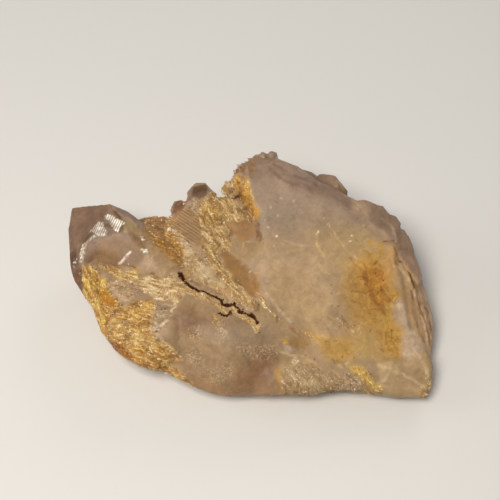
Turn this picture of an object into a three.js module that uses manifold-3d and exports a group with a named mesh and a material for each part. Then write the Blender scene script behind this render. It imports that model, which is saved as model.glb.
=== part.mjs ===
// Sugar blade quartz: a cluster of flattened quartz crystals that grew together into one piece. A smoky
// point looks out to the left, a striped blade stands in the middle, and a broad milky blade covers the
// right, over thinner plates whose edges show like pages. A domed crystal and a lump of fine sugar druse
// close the front. The cluster broke off its rock underneath, and rests on that flat break.
//
// Millimetres, +Z up, +X to the right and +Y to the back. The origin is the middle of the cluster's
// footprint, on the surface that it stands on.

import * as THREE from "three";
import { ConvexGeometry } from "three/addons/geometries/ConvexGeometry.js";
import { mergeVertices } from "three/addons/utils/BufferGeometryUtils.js";
import Module from "manifold-3d";

const wasm = await Module();
wasm.setup();

// ---------------------------------------------------------------- driving dimensions

const SUGAR_SIZE = 0.9; // radius of the coarser sugar crystals, the ones big enough to be solid
const CRACK_WIDTH = 1.2;
const CRACK_DEPTH = 2.2;
const PAGE_DROP = 1.3; // from the top of one thin plate at the right end to the next one down
const PAGE_COUNT = 4;
const STRIPE_PITCH = 0.8; // from one growth stripe of the striped blade to the next
const STRIPE_COUNT = 11;
const STRIPE_HEIGHT = 0.42;
const STRIPE_ANGLE = -35; // degrees that the stripes run down to the right
const COARSE_BUMPS = 3.6; // how wide the bumps of a rough lump are
const FINE_BUMPS = 1.7;

// Flat faces are [azimuth, elevation, distance]: the way that the face looks, in degrees, with azimuth 0
// along +X and 90 along +Y, and how far the face is from its crystal's centre.

const SMOKY_POINT = {
  centre: [-36, 6, 13],
  faces: [
    [-175, 55, 10.3], // the big clean face of the tip
    [-100, 65, 7], // the small bright face on the ridge
    [7, 58, 9.9], // the striped face at the back
    [-96, 57, 6.1], // the domed face in front
    [-112, 20, 10.4],
    [-172, -10, 11.9],
    [174, -10, 13.9],
    [-145, -12, 13],
    [76, 12, 11.8],
    [58, 10, 11.2],
    [-165, -42, 12],
    [-95, -38, 12],
    [110, -48, 13],
    [20, 0, 16],
    [0, -30, 16],
    [0, -90, 9],
  ],
};

// The low amber crystal that fills the dip between the smoky point and the striped blade.
const SADDLE = {
  centre: [-25, 8, 9],
  roughness: 0.03,
  detail: 3,
  faces: [
    [-95, 78, 9.2],
    [-100, 42, 10],
    [90, 34, 12],
    [90, 0, 13],
    [180, 10, 10],
    [0, 10, 15],
    [-90, -20, 12],
    [0, -90, 7],
  ],
};

const FRONT_CRYSTAL = {
  centre: [-4, -14, 9],
  sharpness: 22,
  roughness: 0.02,
  detail: 5,
  faces: [
    [-99, 84, 10.8],
    [-86, 62, 11.8],
    [-82, 44, 12.6],
    [-112, 47, 13.2],
    [-84, 12, 18],
    [-90, -35, 16.9],
    [-120, -31, 17.4],
    [42, 58, 11.9],
    [-135, 45, 16],
    [-45, 52, 15.4],
    [-40, -30, 19],
    [180, 10, 20],
    [0, 10, 20],
    [90, 10, 16],
    [90, -60, 12],
    [0, -90, 8],
  ],
};

// The last stretch of the main blade's left side, which swells out over the striped blade.
const SWELLING = {
  centre: [3, 0, 17.5],
  roughness: 0.02,
  detail: 3,
  faces: [
    [-78, 67, 5],
    [180, 40, 6.4],
    [-140, 34, 6.4],
    [140, 40, 6.4],
    [-100, 34, 8],
    [0, 10, 6],
    [90, 10, 9],
    [0, -90, 5],
  ],
};

// The sugary ledge between the front crystal and the main blade.
const LEDGE = {
  centre: [10, -21.4, 8],
  roughness: 0.04,
  detail: 3,
  faces: [
    [-80, 66, 6.2],
    [-90, -35, 9.8],
    [-90, 18, 10.2],
    [-30, 30, 11],
    [20, 56, 6.6],
    [180, 20, 9],
    [0, 0, 13],
    [90, 0, 9],
    [0, -90, 6],
  ],
};

const SUGAR_LUMPS = [
  {
    centre: [-30, -13, 10],
    roughness: 0.05,
    detail: 4,
    faces: [
      [-129, 62, 9.4],
      [-95, 50, 10.4],
      [-125, 16, 10.6],
      [-144, -22, 8.2],
      [-112, -28, 9.6],
      [-155, 30, 8.4],
      [-166, 2, 10.2],
      [-70, 55, 12],
      [60, 70, 10],
      [-60, -20, 14],
      [0, 0, 14],
      [90, 10, 14],
      [0, -90, 8],
    ],
  },
  {
    centre: [-38, -3, 10],
    roughness: 0.04,
    detail: 3,
    faces: [
      [-150, 35, 7.4],
      [-110, 45, 8.6],
      [-143, -23, 5],
      [-139, 6, 6.1],
      [-161, -13, 6.4],
      [0, 60, 8],
      [0, 0, 12],
      [90, 20, 9],
      [-90, -30, 9],
      [90, -50, 8],
      [0, -90, 6.5],
    ],
  },
];

// The broken rock side of the cluster: a ring of points at the surface it stands on, and wider rings above.
const ROOT = {
  centre: [5, -3, 9],
  sharpness: 30,
  roughness: 0.03,
  detail: 5,
  faces: [
    [0, -90, 9.8],
    [-90, -42, 19.5],
    [-130, -38, 23],
    [-50, -36, 28],
    [180, -34, 26],
    [0, -40, 31],
    [130, -40, 23],
    [90, -46, 21],
    [50, -38, 28],
    [-90, 6, 25.5],
    [0, 4, 38],
    [180, 12, 33],
    [90, 8, 26],
    [45, 10, 37],
    [-45, 8, 39],
    [135, 14, 31],
    [-135, 14, 32],
    [95, 48, 22],
    [-92, 68, 9],
    [60, 58, 19],
    [165, 64, 12],
  ],
};

// A blade is a plate: its outline on its broad face, [across, up], with the way that face leans to the
// front and rolls to the right, in degrees, the plate's thickness, and the bevel round its rim.

const STRIPED_BLADE = {
  centre: [-9.3, 5, 22.5],
  lean: 12,
  roll: -2,
  thickness: 11,
  bevel: { width: 1.2, drop: 1.6 },
  outline: [
    [-13.6, 6.6],
    [-11.9, 9.6],
    [-9.5, 12.2],
    [-5.2, 14],
    [3.4, 14],
    [9, 12],
    [15, 8],
    [16, -6],
    [16.5, -18],
    [13.4, -22.6],
    [10.4, -22.2],
    [6.4, -18.6],
    [3.4, -16.2],
    [-0.4, -13.4],
    [-5.2, -10.6],
    [-9.2, -7.2],
    [-9, -3.4],
    [-11.2, 0.4],
    [-13.4, 3.4],
  ],
};

const MAIN_BLADE = {
  centre: [21, -3.7, 20.3],
  lean: 22,
  roll: 5,
  thickness: 9,
  bevel: { width: 1.1, drop: 1.4 },
  outline: [
    [-24.6, 28.8],
    [-21.4, 31.4],
    [-14.4, 31.8],
    [-8.8, 29.8],
    [-3.6, 26.2],
    [0.8, 24.4],
    [5, 22],
    [7.4, 21],
    [9.6, 21.5],
    [13, 20.3],
    [14.5, 20.1],
    [16.3, 17.8],
    [18, 17.5],
    [19.4, 15.2],
    [18.8, 12.6],
    [18.5, 8.6],
    [18.2, 4.2],
    [20.2, 0.4],
    [20.8, -3.4],
    [21.2, -8],
    [22.2, -13.2],
    [24.2, -17],
    [26.8, -19.2],
    [28.2, -22.6],
    [27.8, -26.6],
    [26.4, -30.9],
    [18.6, -31.2],
    [11, -29.8],
    [2, -29.9],
    [-7.4, -30],
    [-6.4, -24.6],
    [-4.6, -19],
    [-9.6, -14.8],
    [-14.4, -11.6],
    [-17.4, -8.4],
    [-19, -4],
    [-19, 3],
    [-18.6, 9],
    [-19.6, 13.6],
    [-22, 16.8],
    [-24.6, 21],
    [-26.8, 24.4],
  ],
};

// Where the main blade's terminal face and its left wall are cut: a point on the broad face, the way the
// cut goes down, as an angle on that face, and how steeply.
const MAIN_BLADE_CUTS = [
  { through: [-12, 26.6], towards: 76, steepness: 24, width: 60 },
  { through: [-3, 23.4], towards: 58, steepness: 17, width: 60 },
  { through: [-20.6, 19], towards: 195, steepness: 60, width: 20 },
];

// The plate under the main blade, which fills the space between it and the root.
const SHOULDER = {
  centre: [21, -3.7, 17],
  lean: 22,
  roll: 6,
  thickness: 7,
  bevel: { width: 1, drop: 1.4 },
  outline: [
    [-8, 28],
    [-2, 24],
    [5, 20],
    [12.6, 18],
    [17, 14],
    [19, 2],
    [20, -6],
    [21, -14],
    [24.4, -22],
    [24.4, -28],
    [10, -27],
    [-6, -20],
    [-14, 0],
    [-16, 20],
  ],
};

// The glassy crystal that lies along the right shoulder, like a slice of lemon.
const SLICE = {
  centre: [41.5, 4, 19.4],
  lean: 20,
  roll: 16,
  thickness: 7,
  bevel: { width: 1.1, drop: 1.2 },
  outline: [
    [-6, 6],
    [-3.6, 6.8],
    [-0.2, 6.8],
    [1.4, 5],
    [2.6, 2.8],
    [3.6, -0.2],
    [4.8, -2.4],
    [5.8, -5.2],
    [5.8, -7.8],
    [4, -9.4],
    [-2, -9],
  ],
};

// The thin plates at the right end lie under the main blade, parallel to it. The first reaches a little
// past the main blade's edge and the last one reaches the outer edge; both edges are on the main blade's
// frame.
const PAGE = {
  thickness: 3,
  bevel: { width: 0.5, drop: 0.6 },
  inner: [
    [18.2, 4.2],
    [20.2, 0.4],
    [20.8, -3.4],
    [21.2, -8],
    [22.2, -13.2],
    [24.2, -17],
    [26.8, -19.2],
  ],
  outer: [
    [25.4, 3],
    [27, -1.6],
    [28, -5.2],
    [29, -9],
    [29.2, -12.6],
    [29, -16.4],
    [28.2, -21],
  ],
  root: [
    [24, -26],
    [8, -25],
    [6, 4],
  ],
};

// The two plates behind the main blade, seen from the back.
const BACK_BLADES = [
  {
    centre: [4, 14, 27],
    lean: 8,
    roll: 9,
    thickness: 5,
    bevel: { width: 0.9, drop: 1.2 },
    outline: [
      [-5, 9.6],
      [-2.6, 13.2],
      [5, 14.4],
      [13, 12.6],
      [19, 9],
      [22, 2],
      [20, -8],
      [2, -8],
      [-2, 2],
    ],
  },
  {
    centre: [0, 12, 18],
    lean: -6,
    roll: -4,
    thickness: 6,
    bevel: { width: 1.1, drop: 1.6 },
    outline: [
      [-22, 4],
      [-17, 10.6],
      [-6, 15],
      [8, 17.4],
      [20, 15],
      [31, 8.6],
      [34, -4],
      [20, -12],
      [-16, -10],
    ],
  },
];

// Single quartz points: where each one grows from, the way it points, its half width, how flat it is, and
// its length.
const LONE_POINTS = [
  // the small smoky one
  { root: [-13.1, 17, 22.6], towards: [92, 22], radius: 4.1, flatness: 0.7, length: 6.8 },
  // the others
  { root: [-18.2, 14.4, 21.8], towards: [112, 24], radius: 2.8, flatness: 0.9, length: 4.6 },
  { root: [20.6, 16.4, 22.6], towards: [80, 32], radius: 5.4, flatness: 0.6, length: 9.4 },
  { root: [-27, 10, 13], towards: [100, 18], radius: 4.4, flatness: 0.8, length: 9 },
  { root: [-11, 15.6, 13.4], towards: [104, 4], radius: 5, flatness: 0.75, length: 12.6 },
  { root: [4, 19, 14], towards: [82, 10], radius: 5.6, flatness: 0.7, length: 12 },
  { root: [17, 15, 13], towards: [62, 4], radius: 4.6, flatness: 0.85, length: 15 },
  { root: [29, 8, 12], towards: [40, 6], radius: 4.2, flatness: 0.8, length: 13 },
  { root: [-2, 19, 22], towards: [96, 22], radius: 3.4, flatness: 0.8, length: 8 },
];

// Rows of small points along a blade's edge, from one end to the other.
const POINT_ROWS = [
  // along the top of the plate behind the main blade
  { from: [1.2, 25.6, 31.2], to: [7.4, 26.1, 30.6], towards: [90, 35], count: 5, radius: 1.2, length: 2.8 },
  // down the left side of the main blade, in coarse teeth
  { from: [-0.4, 24, 31.2], to: [-5.4, 17.4, 27], towards: [150, 20], count: 6, radius: 1.4, length: 2.6 },
  // under the rim of the right shoulder
  { from: [29, 14, 20.4], to: [39, 9.4, 17.6], towards: [60, 10], count: 6, radius: 1.5, length: 4.6 },
  { from: [41.6, 6, 15], to: [44, -4, 11.6], towards: [20, 6], count: 4, radius: 1.6, length: 2.4 },
  // between the smoky point and the striped blade
  { from: [-29, 13, 16.6], to: [-22, 12.4, 17.6], towards: [96, 30], count: 3, radius: 2.2, length: 4 },
  // round the back
  { from: [-16, 20.6, 14.6], to: [14, 27, 16], towards: [92, 12], count: 7, radius: 1.9, length: 4 },
  { from: [20, 23, 15], to: [38, 11, 12], towards: [52, 8], count: 6, radius: 1.8, length: 4 },
];

// The open crack between the striped blade and the front crystal, and its short branch.
const CRACK = [
  [-18.4, -2.4],
  [-17, -4.9],
  [-14.8, -5.8],
  [-12.6, -7.4],
  [-9.8, -8.8],
  [-7.2, -10.2],
  [-5.4, -12.4],
  [-3.2, -11.8],
  [-1.6, -13.6],
  [0.6, -15],
  [2, -16.8],
];
const CRACK_BRANCH = [
  [-6.4, -14],
  [-4.8, -15.2],
  [-3.2, -14.7],
  [-1.6, -15.4],
];

// Shell-shaped chips: where the middle of each ball is, and its three half sizes.
const CHIPS = [
  { middle: [-30, -22, -2], halves: [11, 8, 6] },
  { middle: [8, -31, -1], halves: [14, 7, 5] },
  { middle: [40, -24, -1.5], halves: [10, 9, 5] },
  { middle: [46, 6, 3], halves: [9, 10, 6] },
  { middle: [30, 24, 3], halves: [10, 9, 7] },
  { middle: [-8, 27, 0], halves: [13, 9, 6] },
  { middle: [-46, 8, 0], halves: [10, 12, 5] },
  { middle: [-33, 21, 5], halves: [8, 6, 6] },
];

// Where the coarser sugar grows: an oval patch, seen from the direction that it faces.
const SUGAR_PATCHES = [
  { middle: [-31, -14, 14], from: [-115, 50], halves: [13, 9], turn: -18, count: 62 },
  { middle: [-42, -3, 14], from: [-135, 45], halves: [6, 4], turn: -50, count: 14 },
  { middle: [-9, 8, 24], from: [-95, 72], halves: [10, 3.4], turn: -52, count: 30 },
  { middle: [-3.6, 15, 28], from: [-160, 42], halves: [7, 2.2], turn: -48, count: 16 },
  { middle: [6, -14, 17], from: [-95, 65], halves: [11, 2], turn: -34, count: 16 },
  { middle: [-26, 9, 18], from: [-95, 70], halves: [4, 6], turn: 0, count: 10 },
  { middle: [10, 26, 14], from: [90, 20], halves: [26, 10], turn: 0, count: 16 },
];

// ---------------------------------------------------------------- small tools

const radians = THREE.MathUtils.degToRad;

// Unit vector for an azimuth and an elevation in degrees.
function direction([azimuth, elevation]) {
  const around = radians(azimuth);
  const up = radians(elevation);
  return new THREE.Vector3(Math.cos(up) * Math.cos(around), Math.cos(up) * Math.sin(around), Math.sin(up));
}

// Numbers from 0 to 1 that are the same on every run.
function seededRandom(seed) {
  let state = seed;
  return () => {
    state = (state * 1664525 + 1013904223) % 4294967296;
    return state / 4294967296;
  };
}

const random = seededRandom(4136460860);
const between = (low, high) => low + (high - low) * random();

// Smooth noise from -1 to 1: a random value at each whole-number point, blended between them.
function noise(point) {
  const cell = point.clone().floor();
  const part = point.clone().sub(cell);
  const ease = (t) => t * t * (3 - 2 * t);
  const valueAt = (i, j, k) => {
    const mixed = Math.sin((cell.x + i) * 127.1 + (cell.y + j) * 311.7 + (cell.z + k) * 74.7) * 43758.5453;
    return 2 * (mixed - Math.floor(mixed)) - 1;
  };
  let sum = 0;
  for (const i of [0, 1])
    for (const j of [0, 1])
      for (const k of [0, 1]) {
        const weightX = i ? ease(part.x) : 1 - ease(part.x);
        const weightY = j ? ease(part.y) : 1 - ease(part.y);
        const weightZ = k ? ease(part.z) : 1 - ease(part.z);
        sum += valueAt(i, j, k) * weightX * weightY * weightZ;
      }
  return sum;
}

// A closed three.js geometry as a solid that can be joined and cut.
function solidOf(geometry) {
  const bare = new THREE.BufferGeometry();
  const source = geometry.index ? geometry.toNonIndexed() : geometry;
  bare.setAttribute("position", source.getAttribute("position"));
  const merged = mergeVertices(bare, 1e-4);
  return new wasm.Manifold(
    new wasm.Mesh({
      numProp: 3,
      vertProperties: merged.attributes.position.array,
      triVerts: new Uint32Array(merged.index.array),
    }),
  );
}

// A solid as a three.js geometry.
function geometryOf(solid) {
  const mesh = solid.getMesh();
  const geometry = new THREE.BufferGeometry();
  geometry.setAttribute("position", new THREE.BufferAttribute(mesh.vertProperties, 3));
  geometry.setIndex(new THREE.BufferAttribute(mesh.triVerts, 1));
  return geometry;
}

const joined = (solids) => solids.reduce((sum, solid) => sum.add(solid));
const cutBy = (solid, tools) => tools.reduce((left, tool) => left.subtract(tool), solid);

// ---------------------------------------------------------------- the forms that the cluster is made of

// A crystal with flat faces: what is left inside all of its face planes. Three planes meet in each corner,
// and each face is the fan of its corners, in order round it.
function crystal({ centre, faces }) {
  const planes = faces.map(([azimuth, elevation, distance]) => ({
    normal: direction([azimuth, elevation]),
    distance,
  }));
  const corners = [];
  planes.forEach((a, i) =>
    planes.slice(i + 1).forEach((b, j) =>
      planes.slice(i + j + 2).forEach((c) => {
        const axes = new THREE.Matrix3().set(...a.normal, ...b.normal, ...c.normal);
        if (Math.abs(axes.determinant()) < 1e-6) return;
        const corner = new THREE.Vector3(a.distance, b.distance, c.distance).applyMatrix3(axes.invert());
        const inside = planes.every((plane) => plane.normal.dot(corner) < plane.distance + 1e-6);
        if (inside && !corners.some((known) => known.distanceTo(corner) < 1e-4)) corners.push(corner);
      }),
    ),
  );
  const triangles = [];
  for (const { normal, distance } of planes) {
    const side = new THREE.Vector3(normal.y, normal.z, normal.x).cross(normal).normalize();
    const other = normal.clone().cross(side);
    const own = corners.filter((corner) => Math.abs(normal.dot(corner) - distance) < 1e-4);
    if (own.length < 3) continue;
    const middle = own.reduce((sum, corner) => sum.add(corner), new THREE.Vector3()).divideScalar(own.length);
    const angle = (corner) => {
      const arm = corner.clone().sub(middle);
      return Math.atan2(arm.dot(other), arm.dot(side));
    };
    own.sort((p, q) => angle(p) - angle(q));
    for (let i = 1; i + 1 < own.length; i++) triangles.push(own[0], own[i], own[i + 1]);
  }
  const geometry = new THREE.BufferGeometry().setFromPoints(triangles);
  return geometry.translate(...centre);
}

// A rough lump: a ball whose points are moved out to the faces around them, with the edges between faces
// rounded, and then in and out by noise.
function lump({ centre, faces, roughness, detail, sharpness = 14 }) {
  const planes = faces.map(([azimuth, elevation, distance]) =>
    direction([azimuth, elevation]).divideScalar(distance),
  );
  const loose = new THREE.IcosahedronGeometry(1, detail).deleteAttribute("normal").deleteAttribute("uv");
  const ball = mergeVertices(loose);
  const position = ball.getAttribute("position");
  const point = new THREE.Vector3();
  for (let i = 0; i < position.count; i++) {
    point.fromBufferAttribute(position, i).normalize();
    const nearness = planes.reduce((sum, plane) => sum + Math.max(plane.dot(point), 0) ** sharpness, 0);
    const reach = nearness ** (-1 / sharpness);
    const place = point.clone().multiplyScalar(reach);
    const coarse = noise(place.clone().divideScalar(COARSE_BUMPS));
    const fine = noise(place.clone().divideScalar(FINE_BUMPS));
    point.multiplyScalar(reach * (1 + roughness * (coarse + 0.5 * fine)));
    position.setXYZ(i, point.x, point.y, point.z);
  }
  return ball.translate(...centre);
}

// The frame of a blade's broad face: across, up along the lean, and out of the face.
function bladeFrame({ centre, lean, roll }) {
  const turn = new THREE.Euler(radians(lean), radians(roll), 0, "YXZ");
  return new THREE.Matrix4().makeRotationFromEuler(turn).setPosition(...centre);
}

// A blade: its outline drawn out into a plate with a bevel round both rims, its broad face at the frame's
// zero.
function blade(form) {
  const { outline, thickness, bevel } = form;
  const shape = new THREE.Shape(outline.map(([across, up]) => new THREE.Vector2(across, up)));
  const plate = new THREE.ExtrudeGeometry(shape, {
    depth: thickness - 2 * bevel.drop,
    bevelSegments: 1,
    bevelSize: bevel.width,
    bevelOffset: -bevel.width,
    bevelThickness: bevel.drop,
  });
  plate.translate(0, 0, bevel.drop - thickness);
  return plate.applyMatrix4(bladeFrame(form));
}

// A block that covers everything above a sloping cut across a blade's broad face.
function cutBlock(form, { through, towards, steepness, width }) {
  const size = 60;
  const block = new THREE.BoxGeometry(size, width, size).translate(0, 0, size / 2);
  block.rotateY(radians(steepness)).rotateZ(radians(towards));
  block.translate(through[0], through[1], 0);
  return block.applyMatrix4(bladeFrame(form));
}

// A quartz point: a flattened six-sided prism that ends in a short chisel edge, a little off centre.
function quartzPoint({ root, towards, radius, flatness, length }) {
  const tipLength = radius * between(0.7, 1);
  const corners = [];
  for (let i = 0; i < 6; i++) {
    const around = radians(60 * i);
    const x = radius * Math.cos(around);
    const y = radius * flatness * Math.sin(around);
    corners.push(new THREE.Vector3(x, y, -radius));
    corners.push(new THREE.Vector3(x, y, length - tipLength * (i % 2 ? 1 : 0.7)));
  }
  const shift = radius * between(-0.2, 0.2);
  for (const end of [-0.35, 0.35]) corners.push(new THREE.Vector3(radius * end + shift, shift * 0.5, length));
  const point = new ConvexGeometry(corners);
  point.rotateZ(radians(90 + towards[0]));
  const turn = new THREE.Quaternion().setFromUnitVectors(new THREE.Vector3(0, 0, 1), direction(towards));
  return point.applyQuaternion(turn).translate(...root);
}

// A row of points, each a little different from the last.
function pointRow({ from, to, towards, count, radius, length }) {
  const start = new THREE.Vector3(...from);
  const end = new THREE.Vector3(...to);
  return Array.from({ length: count }, (_, i) => {
    const share = (i + between(0.3, 0.7)) / count;
    return quartzPoint({
      root: start.clone().lerp(end, share).toArray(),
      towards: [towards[0] + between(-16, 16), towards[1] + between(-12, 12)],
      radius: radius * between(0.8, 1.2),
      flatness: between(0.6, 0.95),
      length: length * between(0.8, 1.2),
    });
  });
}

// One growth stripe: a low roof along the blade's broad face, thinning to nothing at its far end.
function stripe(form, [across, up], length) {
  const half = STRIPE_PITCH * 0.45;
  const corners = [
    [0, -half, -1],
    [0, half, -1],
    [0, -half, 0],
    [0, half, 0],
    [0.6, 0, STRIPE_HEIGHT],
    [length * 0.6, 0, STRIPE_HEIGHT * 0.8],
    [length, 0, -0.2],
    [length, 0, -1],
  ].map((corner) => new THREE.Vector3(...corner));
  const roof = new ConvexGeometry(corners).rotateZ(radians(STRIPE_ANGLE)).translate(across, up, 0);
  return roof.applyMatrix4(bladeFrame(form));
}

// A crack along a line seen from above: one V-shaped wedge for each stretch of it, deepest in the middle.
function crackWedges(line, surface) {
  return line.slice(1).map((end, i) => {
    const start = line[i];
    const along = new THREE.Vector2(end[0] - start[0], end[1] - start[1]).normalize();
    const corners = [start, end].flatMap(([x, y], atEnd) => {
      const reach = (atEnd ? 1 : -1) * CRACK_WIDTH * 0.3;
      const cx = x + along.x * reach;
      const cy = y + along.y * reach;
      const z = surface(x, y);
      const half = CRACK_WIDTH * 1.6;
      return [
        new THREE.Vector3(cx - along.y * half, cy + along.x * half, z + 2 * CRACK_DEPTH),
        new THREE.Vector3(cx + along.y * half, cy - along.x * half, z + 2 * CRACK_DEPTH),
        new THREE.Vector3(cx, cy, z - CRACK_DEPTH),
      ];
    });
    return new ConvexGeometry(corners);
  });
}

// Where straight lines from a direction first meet a geometry: each hit has its point and the surface's
// direction.
function surfaceFinder(geometry) {
  const mesh = new THREE.Mesh(geometry, new THREE.MeshBasicMaterial({ side: THREE.FrontSide }));
  const caster = new THREE.Raycaster();
  return (origin, heading) => {
    caster.set(origin, heading);
    const [hit] = caster.intersectObject(mesh);
    return hit && { point: hit.point, normal: hit.face.normal };
  };
}

// Coarse sugar: short three-sided crystal tips strewn over an oval patch, standing out of the surface
// where they land.
function sugarPatch({ middle, from, halves, turn, count }, find) {
  const facing = direction(from);
  const frame = new THREE.Quaternion().setFromUnitVectors(new THREE.Vector3(0, 0, 1), facing);
  const grains = [];
  for (let i = 0; i < count; i++) {
    const around = between(0, 2 * Math.PI);
    const out = Math.sqrt(random());
    const spot = new THREE.Vector3(halves[0] * out * Math.cos(around), halves[1] * out * Math.sin(around), 0);
    spot.applyAxisAngle(new THREE.Vector3(0, 0, 1), radians(turn)).applyQuaternion(frame);
    spot.add(new THREE.Vector3(...middle)).addScaledVector(facing, 40);
    const radius = SUGAR_SIZE * between(0.7, 1.3);
    const height = radius * between(1.5, 2.2);
    const tilt = new THREE.Vector3(between(-0.4, 0.4), between(-0.4, 0.4), between(-0.4, 0.4));
    const hit = find(spot, facing.clone().negate());
    if (!hit) continue;
    const axis = hit.normal.clone().add(tilt).normalize();
    const grain = new THREE.ConeGeometry(radius, height, 3).translate(0, height * 0.2, 0);
    grain.applyQuaternion(new THREE.Quaternion().setFromUnitVectors(new THREE.Vector3(0, 1, 0), axis));
    grains.push(grain.translate(...hit.point));
  }
  return grains;
}

// ---------------------------------------------------------------- the cluster, group by group

function mainBlade() {
  const cuts = MAIN_BLADE_CUTS.map((cut) => solidOf(cutBlock(MAIN_BLADE, cut)));
  return cutBy(solidOf(blade(MAIN_BLADE)), cuts);
}

function pages() {
  return Array.from({ length: PAGE_COUNT }, (_, i) => {
    const share = (i + 1) / PAGE_COUNT;
    const edge = PAGE.inner.map(([x, y], k) => [
      x + share * (PAGE.outer[k][0] - x),
      y + share * (PAGE.outer[k][1] - y),
    ]);
    const lowered = new THREE.Vector3(0, 0, -(i + 1) * PAGE_DROP).applyMatrix4(bladeFrame(MAIN_BLADE));
    const { lean, roll } = MAIN_BLADE;
    return blade({ ...PAGE, lean, roll, centre: lowered.toArray(), outline: [...edge, ...PAGE.root] });
  });
}

function stripes() {
  const chance = seededRandom(3);
  return Array.from({ length: STRIPE_COUNT }, (_, i) => {
    const start = [-8.6 - i * 0.43, 11 - i * 0.68];
    return stripe(STRIPED_BLADE, start, (0.9 + 0.3 * chance()) * (8.6 + i * 0.32));
  });
}

// Height of the ground that the crack runs over.
const crackGround = (x, y) => 20.4 + 0.02 * (x + 18) + 0.12 * (y + 3);

function cluster() {
  const crystals = [
    lump(ROOT),
    ...[FRONT_CRYSTAL, LEDGE, SWELLING, SADDLE, ...SUGAR_LUMPS].map(lump),
    crystal(SMOKY_POINT),
    blade(STRIPED_BLADE),
    ...stripes(),
    blade(SHOULDER),
    blade(SLICE),
    ...pages(),
    ...BACK_BLADES.map(blade),
    ...LONE_POINTS.map(quartzPoint),
    ...POINT_ROWS.flatMap(pointRow),
  ].map(solidOf);
  const grown = joined([mainBlade(), ...crystals]);

  const chips = CHIPS.map(({ middle, halves }) =>
    new THREE.IcosahedronGeometry(1, 2).scale(...halves).translate(...middle),
  );
  const cracks = [CRACK, CRACK_BRANCH].flatMap((line) => crackWedges(line, crackGround));
  const ground = new THREE.BoxGeometry(200, 200, 40).translate(0, 0, -20);
  const broken = cutBy(grown, [...chips, ...cracks, ground].map(solidOf));

  const find = surfaceFinder(geometryOf(broken));
  const sugar = SUGAR_PATCHES.flatMap((patch) => sugarPatch(patch, find)).map(solidOf);
  return cutBy(joined([broken, ...sugar]), [solidOf(ground)]);
}

// Moves the geometry so that its box stands on the origin, centred.
function standOnOrigin(geometry) {
  geometry.computeBoundingBox();
  const { min, max } = geometry.boundingBox;
  return geometry.translate(-(min.x + max.x) / 2, -(min.y + max.y) / 2, -min.z);
}

const quartz = new THREE.MeshStandardMaterial({ color: 0xc9b49a, roughness: 0.35, metalness: 0 });
const mesh = new THREE.Mesh(standOnOrigin(geometryOf(cluster())), quartz);
mesh.name = "quartz_cluster";

const part = new THREE.Group();
part.add(mesh);

export default part;
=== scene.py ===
# %% [markdown]
# # Sugar blade quartz
#
# A hand-sized cluster of quartz. A smoky, see-through point looks out to the left, a striped blade
# stands in the middle, and a broad milky blade covers the right. A crust of fine quartz crystals, as
# small as sugar, has grown over the joints between them, and iron has stained it yellow and brown.
#
# The solid comes packed, with its main shapes. What this lesson adds is the skin of the stone, its
# sugar crust, the dark filling of its crack, and the way that light goes through quartz.

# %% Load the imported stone
import math

import bmesh
import bpy
import numpy as np
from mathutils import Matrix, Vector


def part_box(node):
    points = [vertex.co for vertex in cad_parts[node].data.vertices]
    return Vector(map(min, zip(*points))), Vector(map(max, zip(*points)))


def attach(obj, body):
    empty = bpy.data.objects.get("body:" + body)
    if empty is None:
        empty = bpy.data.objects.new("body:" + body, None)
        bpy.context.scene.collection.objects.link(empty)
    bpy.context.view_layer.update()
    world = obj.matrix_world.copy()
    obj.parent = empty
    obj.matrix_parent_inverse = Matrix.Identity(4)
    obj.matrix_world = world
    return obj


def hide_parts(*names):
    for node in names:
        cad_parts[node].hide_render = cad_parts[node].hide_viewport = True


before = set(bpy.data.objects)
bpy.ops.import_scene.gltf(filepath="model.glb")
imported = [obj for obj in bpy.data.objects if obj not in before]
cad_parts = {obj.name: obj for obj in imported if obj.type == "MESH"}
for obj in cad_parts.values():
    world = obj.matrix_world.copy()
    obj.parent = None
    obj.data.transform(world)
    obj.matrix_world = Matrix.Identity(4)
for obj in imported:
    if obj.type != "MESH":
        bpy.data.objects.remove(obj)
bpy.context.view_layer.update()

STONE = "quartz_cluster"
low, high = (np.array(corner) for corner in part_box(STONE))
size = high - low
MM = 0.001
print("the stone measures", np.round(size / MM, 1), "mm")

# %% [markdown]
# Every place on the stone is given as a share of its box: how far across from the left, how deep from
# the front and how far up, from 0 to 100. Plain metres could be typed in instead, but shares keep the
# finish on the stone if its size changes.

# %% Places on the stone


def spot(across, deep, up):
    """The point at those hundredths of the box: lowest corner plus size times share."""
    return low + size * np.array([across, deep, up]) / 100


def plan(points):
    """Plan places, in hundredths of the box, as metres: one row of (x, y) for each."""
    return low[:2] + size[:2] * np.array(points, float) / 100


print("the middle of the stone is at", np.round(spot(50, 50, 50), 4))

# %% [markdown]
# The camera looks down on the stone from the front, from a little over half way up. A long lens keeps
# the far end from shrinking. Every new object goes into the scene in the same two steps, so one short
# helper does both.

# %% Camera
CAMERA_ELEVATION = math.radians(55)
CAMERA_DISTANCE = 0.322


def shown(name, data):
    """A new object that holds the data, put in the scene."""
    item = bpy.data.objects.new(name, data)
    bpy.context.scene.collection.objects.link(item)
    return item


aim = spot(50.4, 63.6, 44.9)
camera_data = bpy.data.cameras.new("camera")
camera_data.lens = 85
camera_data.sensor_width = 36
camera = shown("camera", camera_data)
towards_camera = np.array([0, -math.cos(CAMERA_ELEVATION), math.sin(CAMERA_ELEVATION)])
camera.location = aim + CAMERA_DISTANCE * towards_camera
camera.rotation_euler = (math.pi / 2 - CAMERA_ELEVATION, 0, 0)
bpy.context.scene.camera = camera
print("the camera stands at", np.round(camera.location, 3))

# %% [markdown]
# Quartz is judged by its gloss and its glow. One large soft lamp overhead draws the gloss on the faces
# that look up, and two weaker ones at the sides and a pale sky fill the rest. Small hard lamps would
# glitter more, but they would leave black shadows in every hollow of the crust.

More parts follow.
